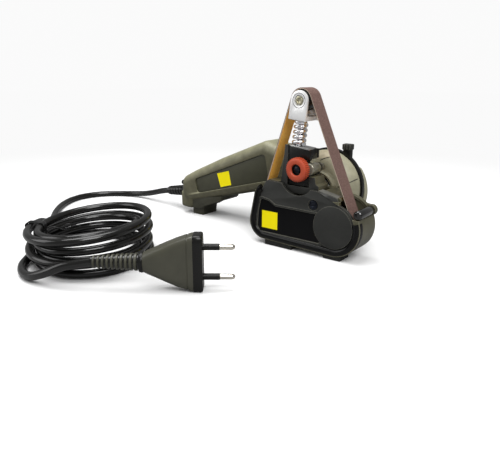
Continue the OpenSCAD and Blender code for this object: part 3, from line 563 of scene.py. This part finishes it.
def skin_mesh(name, rings, material, degrees, capped=True):
    """A skin over closed rings of equal count, with flat ends or open ones."""
    size = len(rings[0])
    points = [p for ring in rings for p in ring]
    faces = [(i * size + k, i * size + (k + 1) % size, (i + 1) * size + (k + 1) % size, (i + 1) * size + k)
             for i in range(len(rings) - 1) for k in range(size)]
    if capped:
        faces.append(tuple(range(size - 1, -1, -1)))
        faces.append(tuple(range(len(points) - size, len(points))))
    mesh = mesh_of(name, points, faces, material)
    smooth_by_angle(mesh, degrees)
    return mesh


def turned_mesh(name, place, profile, material, sides=72, capped=True):
    """A profile of (radius, y) pairs turned about the Y axis through a point of the drawing."""
    rings = [[at(place[0] + r * c, y, place[1] - r * s) for c, s in round_steps(sides)] for r, y in profile]
    return skin_mesh(name, rings, material, 28, capped)


def joined(name, *meshes):
    """Several meshes in one, each with its own finish."""
    shape = bmesh.new()
    result = bpy.data.meshes.new(name)
    for mesh in meshes:
        first = len(result.materials)
        for material in mesh.materials:
            result.materials.append(material)
        before = len(shape.faces)
        shape.from_mesh(mesh)
        shape.faces.ensure_lookup_table()
        for face in shape.faces[before:]:
            face.material_index += first
    shape.to_mesh(result)
    shape.free()
    return result


def repeat_tree():
    """Copies of one shape, each turned about Y and moved and shrunk one step further."""
    tree = bpy.data.node_groups.new("repeat_shape", "GeometryNodeTree")
    for label, kind in (("Geometry", "Geometry"), ("Count", "Int"), ("Turn", "Float"), ("Step", "Vector"),
                        ("Shrink", "Float"), ("Finish", "Material")):
        tree.interface.new_socket(label, in_out="INPUT", socket_type="NodeSocket" + kind)
    tree.interface.new_socket("Geometry", in_out="OUTPUT", socket_type="NodeSocketGeometry")
    new, link = tree.nodes.new, tree.links.new
    given, result = new("NodeGroupInput"), new("NodeGroupOutput")
    index, points = new("GeometryNodeInputIndex"), new("GeometryNodePoints")
    move = new("ShaderNodeVectorMath")
    move.operation = "SCALE"
    link(given.outputs["Step"], move.inputs[0])
    link(index.outputs[0], move.inputs["Scale"])
    link(given.outputs["Count"], points.inputs["Count"])
    link(move.outputs[0], points.inputs["Position"])
    turn = new("ShaderNodeCombineXYZ")
    link(math_node(tree, "MULTIPLY", index.outputs[0], given.outputs["Turn"]), turn.inputs["Y"])
    size = math_node(tree, "SUBTRACT", 1.0, math_node(tree, "MULTIPLY", index.outputs[0], given.outputs["Shrink"]))
    copies, plain = new("GeometryNodeInstanceOnPoints"), new("GeometryNodeRealizeInstances")
    paint = new("GeometryNodeSetMaterial")
    link(points.outputs[0], copies.inputs["Points"])
    link(given.outputs["Geometry"], copies.inputs["Instance"])
    link(turn.outputs[0], copies.inputs["Rotation"])
    link(size, copies.inputs["Scale"])
    link(copies.outputs[0], plain.inputs[0])
    link(plain.outputs[0], paint.inputs["Geometry"])
    link(given.outputs["Finish"], paint.inputs["Material"])
    link(paint.outputs[0], result.inputs[0])
    return tree


REPEAT = repeat_tree()


def repeated(name, mesh, count, material, turn=0.0, step=(0, 0, 0), shrink=0.0):
    """A mesh made of copies of another one, by the repeat tree."""
    holder = bpy.data.objects.new(name, mesh)
    bpy.context.scene.collection.objects.link(holder)
    modifier = holder.modifiers.new("repeat", "NODES")
    modifier.node_group = REPEAT
    values = {"Count": count, "Turn": turn, "Step": step, "Shrink": shrink, "Finish": material}
    for item in REPEAT.interface.items_tree:
        if item.in_out == "INPUT" and item.name in values:
            modifier[item.identifier] = values[item.name]
    holder.update_tag()
    result = evaluated_mesh(holder)
    result.name = name
    bpy.data.objects.remove(holder)
    return result


def moved(mesh, place, turn_z=0.0):
    """The same mesh, turned about Z and then moved."""
    mesh.transform(Matrix.Translation(place) @ Matrix.Rotation(turn_z, 4, "Z"))
    return mesh


def box_mesh(name, low, high, material, bevel):
    """A box in millimetres round its own origin, with rounded edges."""
    shape = cube_shape(Vector(low) * MM, Vector(high) * MM)
    bmesh.ops.bevel(shape, geom=list(shape.edges), offset=bevel * MM, segments=2, profile=0.5, affect="EDGES")
    mesh = bpy.data.meshes.new(name)
    shape.to_mesh(mesh)
    shape.free()
    mesh.materials.append(material)
    smooth_by_angle(mesh, 40)
    return mesh


DRIVE_REACH, DRIVE_ANGLE = 33.375, math.radians(-35.7)
DRIVE = (DRIVE_REACH * math.cos(DRIVE_ANGLE), AXIS_Z + DRIVE_REACH * math.sin(DRIVE_ANGLE))
PULLEYS = [((-31, 16), 10.0), (DRIVE, 12.3), ((-4.1, 107), 7.4)]
BELT_Y, BELT_W, BELT_T, BELT_GAP = -30.65, 12.7, 1.0, 0.2
ARM = ((-7.6, 74.8), (-4.1, 107))
ARM_Y, FORK_FACE = -33.2, -39.95
ARM_LEAN = math.atan2(ARM[1][0] - ARM[0][0], ARM[1][1] - ARM[0][1])
ARM_WAY = Vector((math.sin(ARM_LEAN), 0, math.cos(ARM_LEAN)))


def outline_round(circles, steps):
    """The line round circles (centre, radius), as (centre, radius, nx, nz), with steps on each arc."""
    spans = []
    for (c1, r1), (c2, r2) in zip(circles, circles[1:] + circles[:1]):
        way = Vector((c2[0] - c1[0], c2[1] - c1[1]))
        tilt = (r1 - r2) / way.length
        way.normalize()
        out = Vector((way.y, -way.x))
        spans.append(out * math.sqrt(1 - tilt * tilt) + way * tilt)
    route = []
    for (centre, radius), arrive, leave in zip(circles, spans[-1:] + spans[:-1], spans):
        a0, a1 = math.atan2(arrive.y, arrive.x), math.atan2(leave.y, leave.x)
        if a1 < a0:
            a1 += 2 * math.pi
        for k in range(steps):
            a = a0 + (a1 - a0) * k / (steps - 1)
            route.append((Vector(centre), radius, math.cos(a), math.sin(a)))
    return route


def belt_band(name, stops):
    """Belt along stops (x, z, nx, nz): abrasive outside, woven tan cloth inside, pale cut edges."""
    half, inner_cut, corner, grit_t = BELT_W / 2, 0.1, 0.15, 0.45
    profile = [(-half + inner_cut, 0), (half - inner_cut, 0), (half, corner), (half, BELT_T - grit_t),
               (half - corner, BELT_T), (-half + corner, BELT_T), (-half, BELT_T - grit_t), (-half, corner)]
    grit, cloth, edge = range(3)
    kinds = [cloth, edge, edge, grit, grit, grit, edge, edge]
    size = len(profile)
    points, faces, marks, spots, along = [], [], [], [], [0.0]
    for x, z, nx, nz in stops:
        points.extend(at(x + h * nx, BELT_Y + y, z + h * nz) for y, h in profile)
    for i in range(len(stops) - 1):
        along.append(along[-1] + (points[(i + 1) * size] - points[i * size]).length)
        for k in range(size):
            n = (k + 1) % size
            faces.append((i * size + k, i * size + n, i * size + size + n, i * size + size + k))
            marks.append(kinds[k])
            here, there = profile[k][0] * MM, profile[n][0] * MM
            spots.extend([(along[i], here), (along[i], there), (along[i + 1], there), (along[i + 1], here)])
    mesh = mesh_of(name, points, faces, GRIT, CLOTH, BELT_EDGE)
    layer = mesh.uv_layers.new(name="along_belt")
    for item, spot in zip(layer.data, spots):
        item.uv = spot
    for polygon, mark in zip(mesh.polygons, marks):
        polygon.material_index = mark
    smooth_by_angle(mesh, 30)
    return new_piece(name, mesh, "cassette", "abrasive", "belt")


def make_belt():
    """The belt below a level, which stays in place, and the runs above it as a piece of their own."""
    steps, level, travel = 25, Vector((-4, 40)), 6.0
    route = [(centre.x + (r + BELT_GAP) * c, centre.y + (r + BELT_GAP) * s, c, s)
             for centre, r, c, s in outline_round(PULLEYS, steps)]
    low, drive, top = route[:steps], route[steps:2 * steps], route[2 * steps:]

    def height(stop):
        return (stop[0] - level.x) * ARM_WAY.x + (stop[1] - level.y) * ARM_WAY.z

    def crossing(a, b):
        t = height(a) / (height(a) - height(b))
        return (a[0] + (b[0] - a[0]) * t, a[1] + (b[1] - a[1]) * t, a[2], a[3])

    right, left = crossing(drive[-1], top[0]), crossing(top[-1], low[0])
    belt_band("abrasive_belt", [left, *low, *drive, right])
    upper = belt_band("abrasive_belt_top", [right, *top, left])
    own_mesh(upper)


def make_spring():
    """Bright round wire with closed ends, on the leaning arm."""
    curls, stops, ring, wire, low, high = 5, 28, 3.75, 2.7, 2.5, 17.6
    closed_end = 0.08
    across = Vector((math.cos(ARM_LEAN), 0, -math.sin(ARM_LEAN)))
    foot = at(ARM[0][0], ARM_Y, ARM[0][1])
    route = []
    for i in range(curls * stops + 1):
        t = i / (curls * stops)
        a = 2 * math.pi * curls * t
        up = min(1, max(0, (t - closed_end) / (1 - 2 * closed_end)))
        route.append(foot + (across * ring * math.cos(a) + Vector((0, 1, 0)) * ring * math.sin(a)
                             + ARM_WAY * (low + (high - low) * up)) * MM)
    mesh = tube_mesh("bright_spring", route, wire / 2, 12, CHROME)
    spring = new_piece("bright_spring", mesh, "carriage", "spring", "tension_spring")
    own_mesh(spring)


def make_knob():
    """Red knob with a rounded face, a ridged rim and a deep hole, whose wall is painted black as painted shade."""
    place, radius, rim_inset, ridge_count = (-2.7, 60.1), 8.5, 0.4, 36
    rim = radius - rim_inset
    front = [(1.6, -38.4), (rim - 0.5, -38.4), (rim, -38.8), (rim, -42.8), (rim - 0.2, -43.4), (rim - 0.7, -43.8),
             (rim - 1.4, -43.98), (5.0, -44), (4.4, -43.9), (4.0, -43.5), (3.9, -43.1), (3.9, -42.4)]
    hole = [(3.9, -42.5), (3.85, -41.05), (1.52, -41.02)]
    rounded = [(0.02, -38.7), (0.5, -38.9), (0.5, -42.9), (0.32, -43.2), (0.02, -43.3)]
    body = turned_mesh("knob_turned", place, front, RED, capped=False)
    # painted shade: the hole's wall and floor are black for the shade inside the deep hole
    wall = turned_mesh("knob_hole", place, hole, BLACK, capped=False)
    # the ridge stands on the rim of a knob at the frame's origin, where the copies turn
    ridge = moved(turned_mesh("ridge", (0, 0), rounded, RED, 8), Vector(((rim - SHIFT_X) * MM, 0, 0)))
    ridges = repeated("knob_ridges", ridge, ridge_count, RED, turn=2 * math.pi / ridge_count)
    moved(ridges, Vector(((place[0] + SHIFT_X) * MM, 0, place[1] * MM)))
    mesh = joined("knob_moulded", body, wall, ridges)
    smooth_by_angle(mesh, 32)
    new_piece("knob_moulded", mesh, "knob", "knob", "tracking_knob")


CASSETTE = [((-31, 17.2), 13.0), (DRIVE, 20.5), ((13, 44), 3.0), ((-27.5, 47), 3.0), ((-30, 37), 10.0)]
ARC_STEPS, RIM_W = 26, 4.2


def make_rim():
    """Gloss black rounded rim round the cover, open at the top."""
    route = outline_round(CASSETTE, ARC_STEPS)
    # from the last circle down round the low end, and most of the way round the nose
    bare_steps = 9
    path = route[4 * ARC_STEPS:] + route[:2 * ARC_STEPS - bare_steps]
    profile = [(0.06, -37.5), (0.14, -40.6), (-0.25, -41.7), (-1.0, -42.5), (-2.2, -42.95), (-3.5, -42.8),
               (-4.5, -42.3), (-5.2, -41.6), (-5.4, -40.6), (-3.0, -39.4)]
    rings = [[at(centre.x + (r + d) * c, y, centre.y + (r + d) * s) for d, y in profile]
             for centre, r, c, s in path]
    new_piece("gloss_rim", skin_mesh("gloss_rim", rings, GLOSS, 50), "cassette", "black_plastic")


def make_ledge():
    """Grey textured strip on the wing, and the slope from it down to the cover's edge."""
    small_corner, from_share, share, parts = 5, 0.02, 0.84, 8
    cover_y, ridge_y, back_y = -41.2, -39.5, -33.9
    lines = []
    for inset, corner_inset in ((RIM_W, 0.2), (0, 0)):
        circles = [(centre, r - (corner_inset if r < small_corner else inset)) for centre, r in CASSETTE]
        route = outline_round(circles, ARC_STEPS)
        lines.append([centre + r * Vector((c, s)) for centre, r, c, s in
                      (route[2 * ARC_STEPS], route[2 * ARC_STEPS - 1])])
    (low_a, low_b), (high_a, high_b) = lines
    slope, top = [], []
    for k in range(parts + 1):
        t = from_share + share * k / parts
        edge, ridge = low_a.lerp(low_b, t), high_a.lerp(high_b, t)
        slope.append([at(edge.x, cover_y, edge.y - 0.3), at(edge.x, cover_y, edge.y + 0.2),
                      at(ridge.x, ridge_y, ridge.y + 0.3), at(ridge.x, ridge_y, ridge.y - 0.4)])
        top.append([at(ridge.x, ridge_y - 0.2, ridge.y - 0.3), at(ridge.x, ridge_y - 0.2, ridge.y + 0.4),
                    at(ridge.x, back_y, ridge.y + 0.4), at(ridge.x, back_y, ridge.y - 0.3)])
    mesh = joined("wing_ledge", skin_mesh("ledge_slope", slope, CHARCOAL, 40),
                  skin_mesh("ledge_top", top, LEDGE, 40))
    smooth_by_angle(mesh, 40)
    new_piece("wing_ledge", mesh, "cassette", "charcoal")


def make_lug_grip():
    """Wider grip with ridges on the collar's thumb lug."""
    front, gap = -3.4, 2.3
    cap = box_mesh("lug_cap", (-3.6, front, -2.1), (3.6, 2.1, 2.1), CHARCOAL, 0.6)
    ridge = box_mesh("lug_ridge", (-0.5, -0.5, -1.9), (0.5, 0.5, 1.9), CHARCOAL, 0.3)
    ridges = moved(repeated("lug_ridges", ridge, 3, CHARCOAL, step=(gap * MM, 0, 0)),
                   Vector((-gap * MM, front * MM, 0)))
    mesh = moved(joined("lug_grip", cap, ridges), at(14.7, 0, 73.4))
    smooth_by_angle(mesh, 40)
    new_piece("lug_grip", mesh, BODY_OF["locking_ring"], SLOT_OF["locking_ring"])


def make_fork_ring():
    """A thin dark ring round the axle's head on the fork, painted shade for a turned groove."""
    sunk, proud = FORK_FACE + 0.1, FORK_FACE - 0.06
    profile = [(4.7, sunk), (4.75, proud), (5.05, proud), (5.1, sunk)]
    groove = turned_mesh("fork_ring", ARM[1], profile, DARK_LINE, capped=False)
    new_piece("fork_ring", groove, BODY_OF["tension_fork"], SLOT_OF["tension_fork"])


# the head's round shoulder: where its curve starts, and its radius, front and depth
SHOULDER_FROM, SHOULDER_R, SHOULDER_Y, SHOULDER_DEEP = 13.4, 14.2, -15.5, 12.4


def shoulder_point(radius, degrees, out):
    """A point that stands out from the head's round shoulder."""
    lean = math.asin((radius - SHOULDER_FROM) / SHOULDER_R)
    a = math.radians(degrees)
    reach = radius + out * math.sin(lean)
    y = SHOULDER_Y + SHOULDER_DEEP * (1 - math.cos(lean)) - out * math.cos(lean)
    return at(reach * math.cos(a), y, AXIS_Z + reach * math.sin(a))


def make_creases():
    """Thin parting lines on the round shoulder, and a painted lighter band over the upper one, for the flat facet that
    catches more light.
    """
    crease_r, crease_out, band_out, band_edge = 0.28, 0.02, 0.06, 27.3
    creases = []
    for name, parts, radius, wide, angle, sweep in (("crease_low", 20, 14, 13.4, 10, 9),
                                                    ("crease_top", 12, 20.8, 4.0, 92, -18)):
        line = [shoulder_point(radius + wide * k / parts, angle + sweep * k / parts, crease_out)
                for k in range(parts + 1)]
        creases.append(tube_mesh(name, line, crease_r, 8, GROOVE))
    mesh = joined("head_creases", *creases)
    smooth_by_angle(mesh, 60)
    new_piece("head_creases", mesh, "body", "shell")
    # painted light: a lighter band laid over the upper facet of the shoulder
    rows, parts, across = [], 12, 6
    for k in range(parts + 1):
        angle = 100 - 34 * k / parts
        inner = 21.2 + 3.6 * k / parts
        rows.append([shoulder_point(inner + (band_edge - inner) * j / across, angle, band_out)
                     for j in range(across + 1)])
    size = across + 1
    faces = [(i * size + j, i * size + j + 1, (i + 1) * size + j + 1, (i + 1) * size + j)
             for i in range(parts) for j in range(across)]
    band = mesh_of("head_band", [p for row in rows for p in row], faces, BEIGE)
    smooth_by_angle(band, 60)
    new_piece("head_band", band, "body", "shell")


def plug_place(x, y, z):
    """A point of the plug, x along it from the relief to the pins, z along its width."""
    c, s = math.cos(LAY_TURN), math.sin(LAY_TURN)
    return at(PLUG_AT[0] + x * c - y * s, PLUG_AT[1] + x * s + y * c, PLUG_W / 2 + z)


def plug_ring(x, wide, thick, power, count=56):
    """A ring round the plug, from an oval to a rounded box as its power rises."""
    return [plug_place(x, math.copysign(abs(c) ** (2 / power), c) * thick,
                       math.copysign(abs(s) ** (2 / power), s) * wide) for c, s in round_steps(count)]


def make_plug_body():
    """Flat wedge with a parting groove, a black flange and a neck collar."""
    wedge = [(0.2, 5.6, 5.2, 2.4), (1.6, 6.2, 5.7, 2.5), (3.0, 6.9, 5.9, 2.7), (8, 9.0, 6.2, 3.2),
             (14, 11.7, 6.5, 3.8), (20, 14.2, 6.7, 4.4), (25, 15.9, 6.8, 4.8), (26.6, 16.35, 6.82, 5),
             (26.8, 16.1, 6.6, 5), (27.2, 16.1, 6.6, 5), (27.4, 16.6, 6.84, 5), (29.5, 17.2, 6.85, 5.4),
             (30.6, 17.3, 6.7, 5.6)]
    flange = [(30.2, 16.9, 6.4, 6), (30.5, 17.4, 6.75, 6), (31, 17.62, 6.85, 6), (35, 17.62, 6.85, 6),
              (35.7, 17.3, 6.6, 6), (36, 16.8, 6.2, 6)]
    collar = [(-1.6, 5.2, 5.2, 2.2), (-1.4, 6.0, 5.9, 2.2), (-0.2, 6.4, 6.2, 2.2), (0.9, 6.2, 5.9, 2.2),
              (1.1, 5, 5, 2.2)]
    skins = [skin_mesh(name, [plug_ring(*row) for row in rows], material, degrees)
             for name, rows, material, degrees in (("plug_skin", wedge, PLUG, 35), ("plug_flange", flange, BLACK, 35),
                                                   ("plug_collar", collar, BLACK, 40))]
    mesh = joined("plug_moulded", *skins)
    smooth_by_angle(mesh, 35)
    return new_piece("plug_moulded", mesh, "body", "cord", "plug_body")


def make_relief():
    """A tapered core with ladder ribs that get smaller away from the plug."""
    sides, rib_count, rib_gap, first_rib, taper = 28, 10, 2.75, -3.4, 0.031
    cone = [(-29.98, 3.25), (-20, 3.7), (-8, 4.3), (-0.1, 4.7)]
    rib_rows = [(-0.9, 4.3), (-0.85, 5.1), (-0.6, 5.4), (0.6, 5.4), (0.85, 5.1), (0.9, 4.3)]
    core = skin_mesh("relief_core", [plug_ring(x, r, r, 2, sides) for x, r in cone], CORD, 40)
    rib = skin_mesh("rib", [[Vector((x, r * c, r * s)) * MM for c, s in round_steps(sides)] for x, r in rib_rows],
                    PLUG, 40)
    ribs = repeated("relief_ribs", rib, rib_count, PLUG, step=(-rib_gap * MM, 0, 0), shrink=taper)
    moved(ribs, plug_place(first_rib, 0, 0), LAY_TURN)
    mesh = joined("relief_moulded", core, ribs)
    smooth_by_angle(mesh, 40)
    return new_piece("relief_moulded", mesh, "body", "cord", "plug_relief")


def make_pins():
    """Two round pins with black sleeves and bright tips."""
    sides, half_gap = 24, 9.3
    sleeve, tip = [(36.02, 2.0), (45.6, 2.0), (46, 1.7)], [(45.6, 1.75), (53.2, 1.75), (54.4, 1.3), (55, 0.5)]
    pins = []
    for middle in (-half_gap, half_gap):
        for name, profile, material in (("pin_sleeve", sleeve, BLACK), ("pin_tip", tip, NICKEL)):
            rings = [[plug_place(x, r * c, middle + r * s) for c, s in round_steps(sides)] for x, r in profile]
            pins.append(skin_mesh(name, rings, material, 35))
    mesh = joined("plug_pins_sleeved", *pins)
    smooth_by_angle(mesh, 35)
    return new_piece("plug_pins_sleeved", mesh, "body", "pins", "plug_pins")


def make_tie():
    """Twisted thin wire round the turns at the coil's left end, with loose ends."""
    centre = (-(COIL_A - COIL_PITCH * 0.5), -3.0, COIL_Z0 + COIL_LIFT * 1.5)
    half_w, half_t, corner, corner_steps = 6.75, 12.7, 3.2, 6
    loops, first_y, loop_gap, wobble = 3, -2.2, 1.9, 0.3
    loop_r, end_r, twist_r, sides = 0.45, 0.42, 0.5, 8
    c, s = math.cos(LAY_TURN), math.sin(LAY_TURN)

    def local(x, y, z):
        x, y = x + centre[0], y + centre[1]
        return at(COIL_AT[0] + x * c - y * s, COIL_AT[1] + x * s + y * c, z + centre[2])

    def end_point(t, lift, y, reach):
        return local(half_w - 1 + reach * t, y + 2.2 * math.sin(6 * t) + 3 * t,
                     4 + lift + 9.5 * t - 5 * t * t + 1.2 * math.sin(9 * t))

    def twist_point(t):
        return local(half_w + 0.2 + 0.6 * math.cos(7 * t), 0.4 + 0.6 * math.sin(7 * t), 3.2 + 4.5 * t)

    loop = []
    for sx, sz, start in ((1, 1, 0), (-1, 1, 90), (-1, -1, 180), (1, -1, 270)):
        for k in range(corner_steps + 1):
            a = math.radians(start + 90 * k / corner_steps)
            loop.append((sx * (half_w - corner) + corner * math.cos(a),
                         sz * (half_t - corner) + corner * math.sin(a)))
    strands = [local(x, first_y + loop_gap * (turn + k / len(loop)) + wobble * math.sin(5 * k), z)
               for turn in range(loops) for k, (x, z) in enumerate(loop)]
    meshes = [tube_mesh("tie_loops", strands, loop_r, sides, WIRE)]
    for lift, y, reach in ((0.0, 1.0, 24), (1.4, -0.4, 19)):
        meshes.append(tube_mesh("tie_end", [end_point(k / 24, lift, y, reach) for k in range(25)], end_r, sides, WIRE))
    meshes.append(tube_mesh("tie_twist", [twist_point(k / 30) for k in range(31)], twist_r, sides, WIRE))
    mesh = joined("wire_tie", *meshes)
    smooth_by_angle(mesh, 60)
    return new_piece("wire_tie", mesh, "body", "black_plastic", "cord_tie")


def make_handle_patch():
    """A plain yellow square on the handle's dark field."""
    corners, front = [(-101.2, 42.2), (-88.0, 45.9), (-85.4, 34.1), (-97.2, 30.7)], -14.74
    mesh = mesh_of("handle_patch", [at(x, front, z) for x, z in corners], [(3, 2, 1, 0)], YELLOW)
    new_piece("handle_patch", mesh, "body", "yellow")


# the bevel on each dressed solid, in millimetres
SOFTENED = {
    "head_front": 0, "head_rear": 0.3, "handle_front": 0, "handle_rear": 0, "locking_ring": 0.35,
    "cassette_housing": 0, "cassette_cover": 0.25, "arm_tower": 0.4, "tension_fork": 0.45, "arm_carriage": 0.35,
    "handle_foot": 0.4, "head_foot": 0.6, "cassette_feet": 0.5, "end_cap": 0.4, "trigger": 0.5, "guide_post": 0.3,
    "spring_washer": 0.15, "top_axle": 0.15, "tracking_screw": 0.15, "tracking_sleeve": 0.2, "tracking_ring": 0.3,
    "cord_gland": 0, "handle_panel": 0.2, "cover_screw": 0.12, "top_pulley": 0.2,
}
softened = {node: dressed(node, bevel) for node, bevel in SOFTENED.items()}
# the tower's front plate, its dark end beside the carriage, and painted shade on the turret in the head's bore, for
# the shadow gap between the housing and the head
PLATE_RIGHT, PLATE_TOP, END_FROM, TURRET_Y, TURRET_R = 4.5, 74, 66, -19, 15
painted(softened["arm_tower"], CHARCOAL, lambda x, y, z: x < PLATE_RIGHT and z < PLATE_TOP)
painted(softened["arm_tower"], BLACK, lambda x, y, z: x > PLATE_RIGHT and z > END_FROM)
# painted shade: the housing's faces in the head's bore are black for the shadow gap there
painted(softened["cassette_housing"], BLACK, lambda x, y, z: y > TURRET_Y and math.hypot(x, z - AXIS_Z) < TURRET_R)
make_belt()
make_spring()
make_knob()
make_rim()
make_ledge()
make_lug_grip()
make_fork_ring()
make_creases()
plug_pieces = [make_plug_body(), make_relief(), make_pins()]
tie = make_tie()
make_handle_patch()


def make_stage():
    """Plain pale floor that runs into white."""
    span, bounce, pale, near, far_off, white = 4.0, (0.28,) * 3, (0.9,) * 3, 0.2, 0.62, (0.955,) * 3
    corners = [(-span, -span, 0), (span, -span, 0), (span, span, 0), (-span, span, 0)]
    mesh = mesh_of("floor", corners, [(0, 1, 2, 3)])
    paint = bpy.data.materials.new("pale_floor")
    paint.use_nodes = True
    nodes, links = paint.node_tree.nodes, paint.node_tree.links
    shader = nodes["Principled BSDF"]
    shader.inputs["Roughness"].default_value = 0.6
    path = nodes.new("ShaderNodeLightPath")
    # pale to the camera, but with a weaker bounce on the undersides
    links.new(two_tone(nodes, links, path.outputs["Is Camera Ray"], bounce, pale), shader.inputs["Base Color"])
    # far from the object the camera sees plain white, so no horizon shows
    place = nodes.new("ShaderNodeTexCoord")
    away = nodes.new("ShaderNodeVectorMath")
    away.operation = "LENGTH"
    links.new(place.outputs["Object"], away.inputs[0])
    far = nodes.new("ShaderNodeMapRange")
    far.interpolation_type = "SMOOTHSTEP"
    far.inputs["From Min"].default_value = near
    far.inputs["From Max"].default_value = far_off
    links.new(away.outputs["Value"], far.inputs["Value"])
    glow = nodes.new("ShaderNodeEmission")
    glow.inputs["Color"].default_value = (*white, 1)
    blend = nodes.new("ShaderNodeMixShader")
    links.new(math_node(paint.node_tree, "MULTIPLY", far.outputs[0], path.outputs["Is Camera Ray"]),
              blend.inputs[0])
    links.new(shader.outputs[0], blend.inputs[1])
    links.new(glow.outputs[0], blend.inputs[2])
    links.new(blend.outputs[0], nodes["Material Output"].inputs["Surface"])
    mesh.materials.append(paint)
    floor = bpy.data.objects.new("floor", mesh)
    bpy.context.scene.collection.objects.link(floor)


MIDDLE = Vector((0.03, -0.04, 0.05))


def soft_light(name, place, size, watts):
    """A square light that looks at the middle of the object."""
    data = bpy.data.lights.new(name, "AREA")
    data.size = size
    data.energy = watts
    light = bpy.data.objects.new(name, data)
    light.location = place
    light.rotation_mode = "QUATERNION"
    light.rotation_quaternion = (MIDDLE - Vector(place)).to_track_quat("-Z", "Y")
    bpy.context.scene.collection.objects.link(light)


def make_world():
    """White behind the object, and dimmer in reflections, so that dark gloss stays dark."""
    plain, behind, less_gloss = 0.36, 0.6, 0.1
    world = bpy.data.worlds.new("studio")
    bpy.context.scene.world = world
    world.use_nodes = True
    nodes, links = world.node_tree.nodes, world.node_tree.links
    glow = nodes["Background"]
    glow.inputs["Color"].default_value = (1, 1, 1, 1)
    path = nodes.new("ShaderNodeLightPath")
    seen = math_node(world.node_tree, "MULTIPLY", path.outputs["Is Camera Ray"], behind)
    mirrored = math_node(world.node_tree, "MULTIPLY", path.outputs["Is Glossy Ray"], less_gloss)
    strength = math_node(world.node_tree, "SUBTRACT", math_node(world.node_tree, "ADD", seen, plain), mirrored)
    links.new(strength, glow.inputs["Strength"])


make_stage()
make_world()
soft_light("key_light", (0.75, -0.55, 0.95), 0.7, 12.0)
soft_light("top_light", (-0.2, -0.1, 1.2), 0.9, 13.0)
soft_light("fill_light", (-0.9, -0.9, 0.6), 0.8, 4.5)
bpy.context.scene.view_settings.view_transform = "Standard"
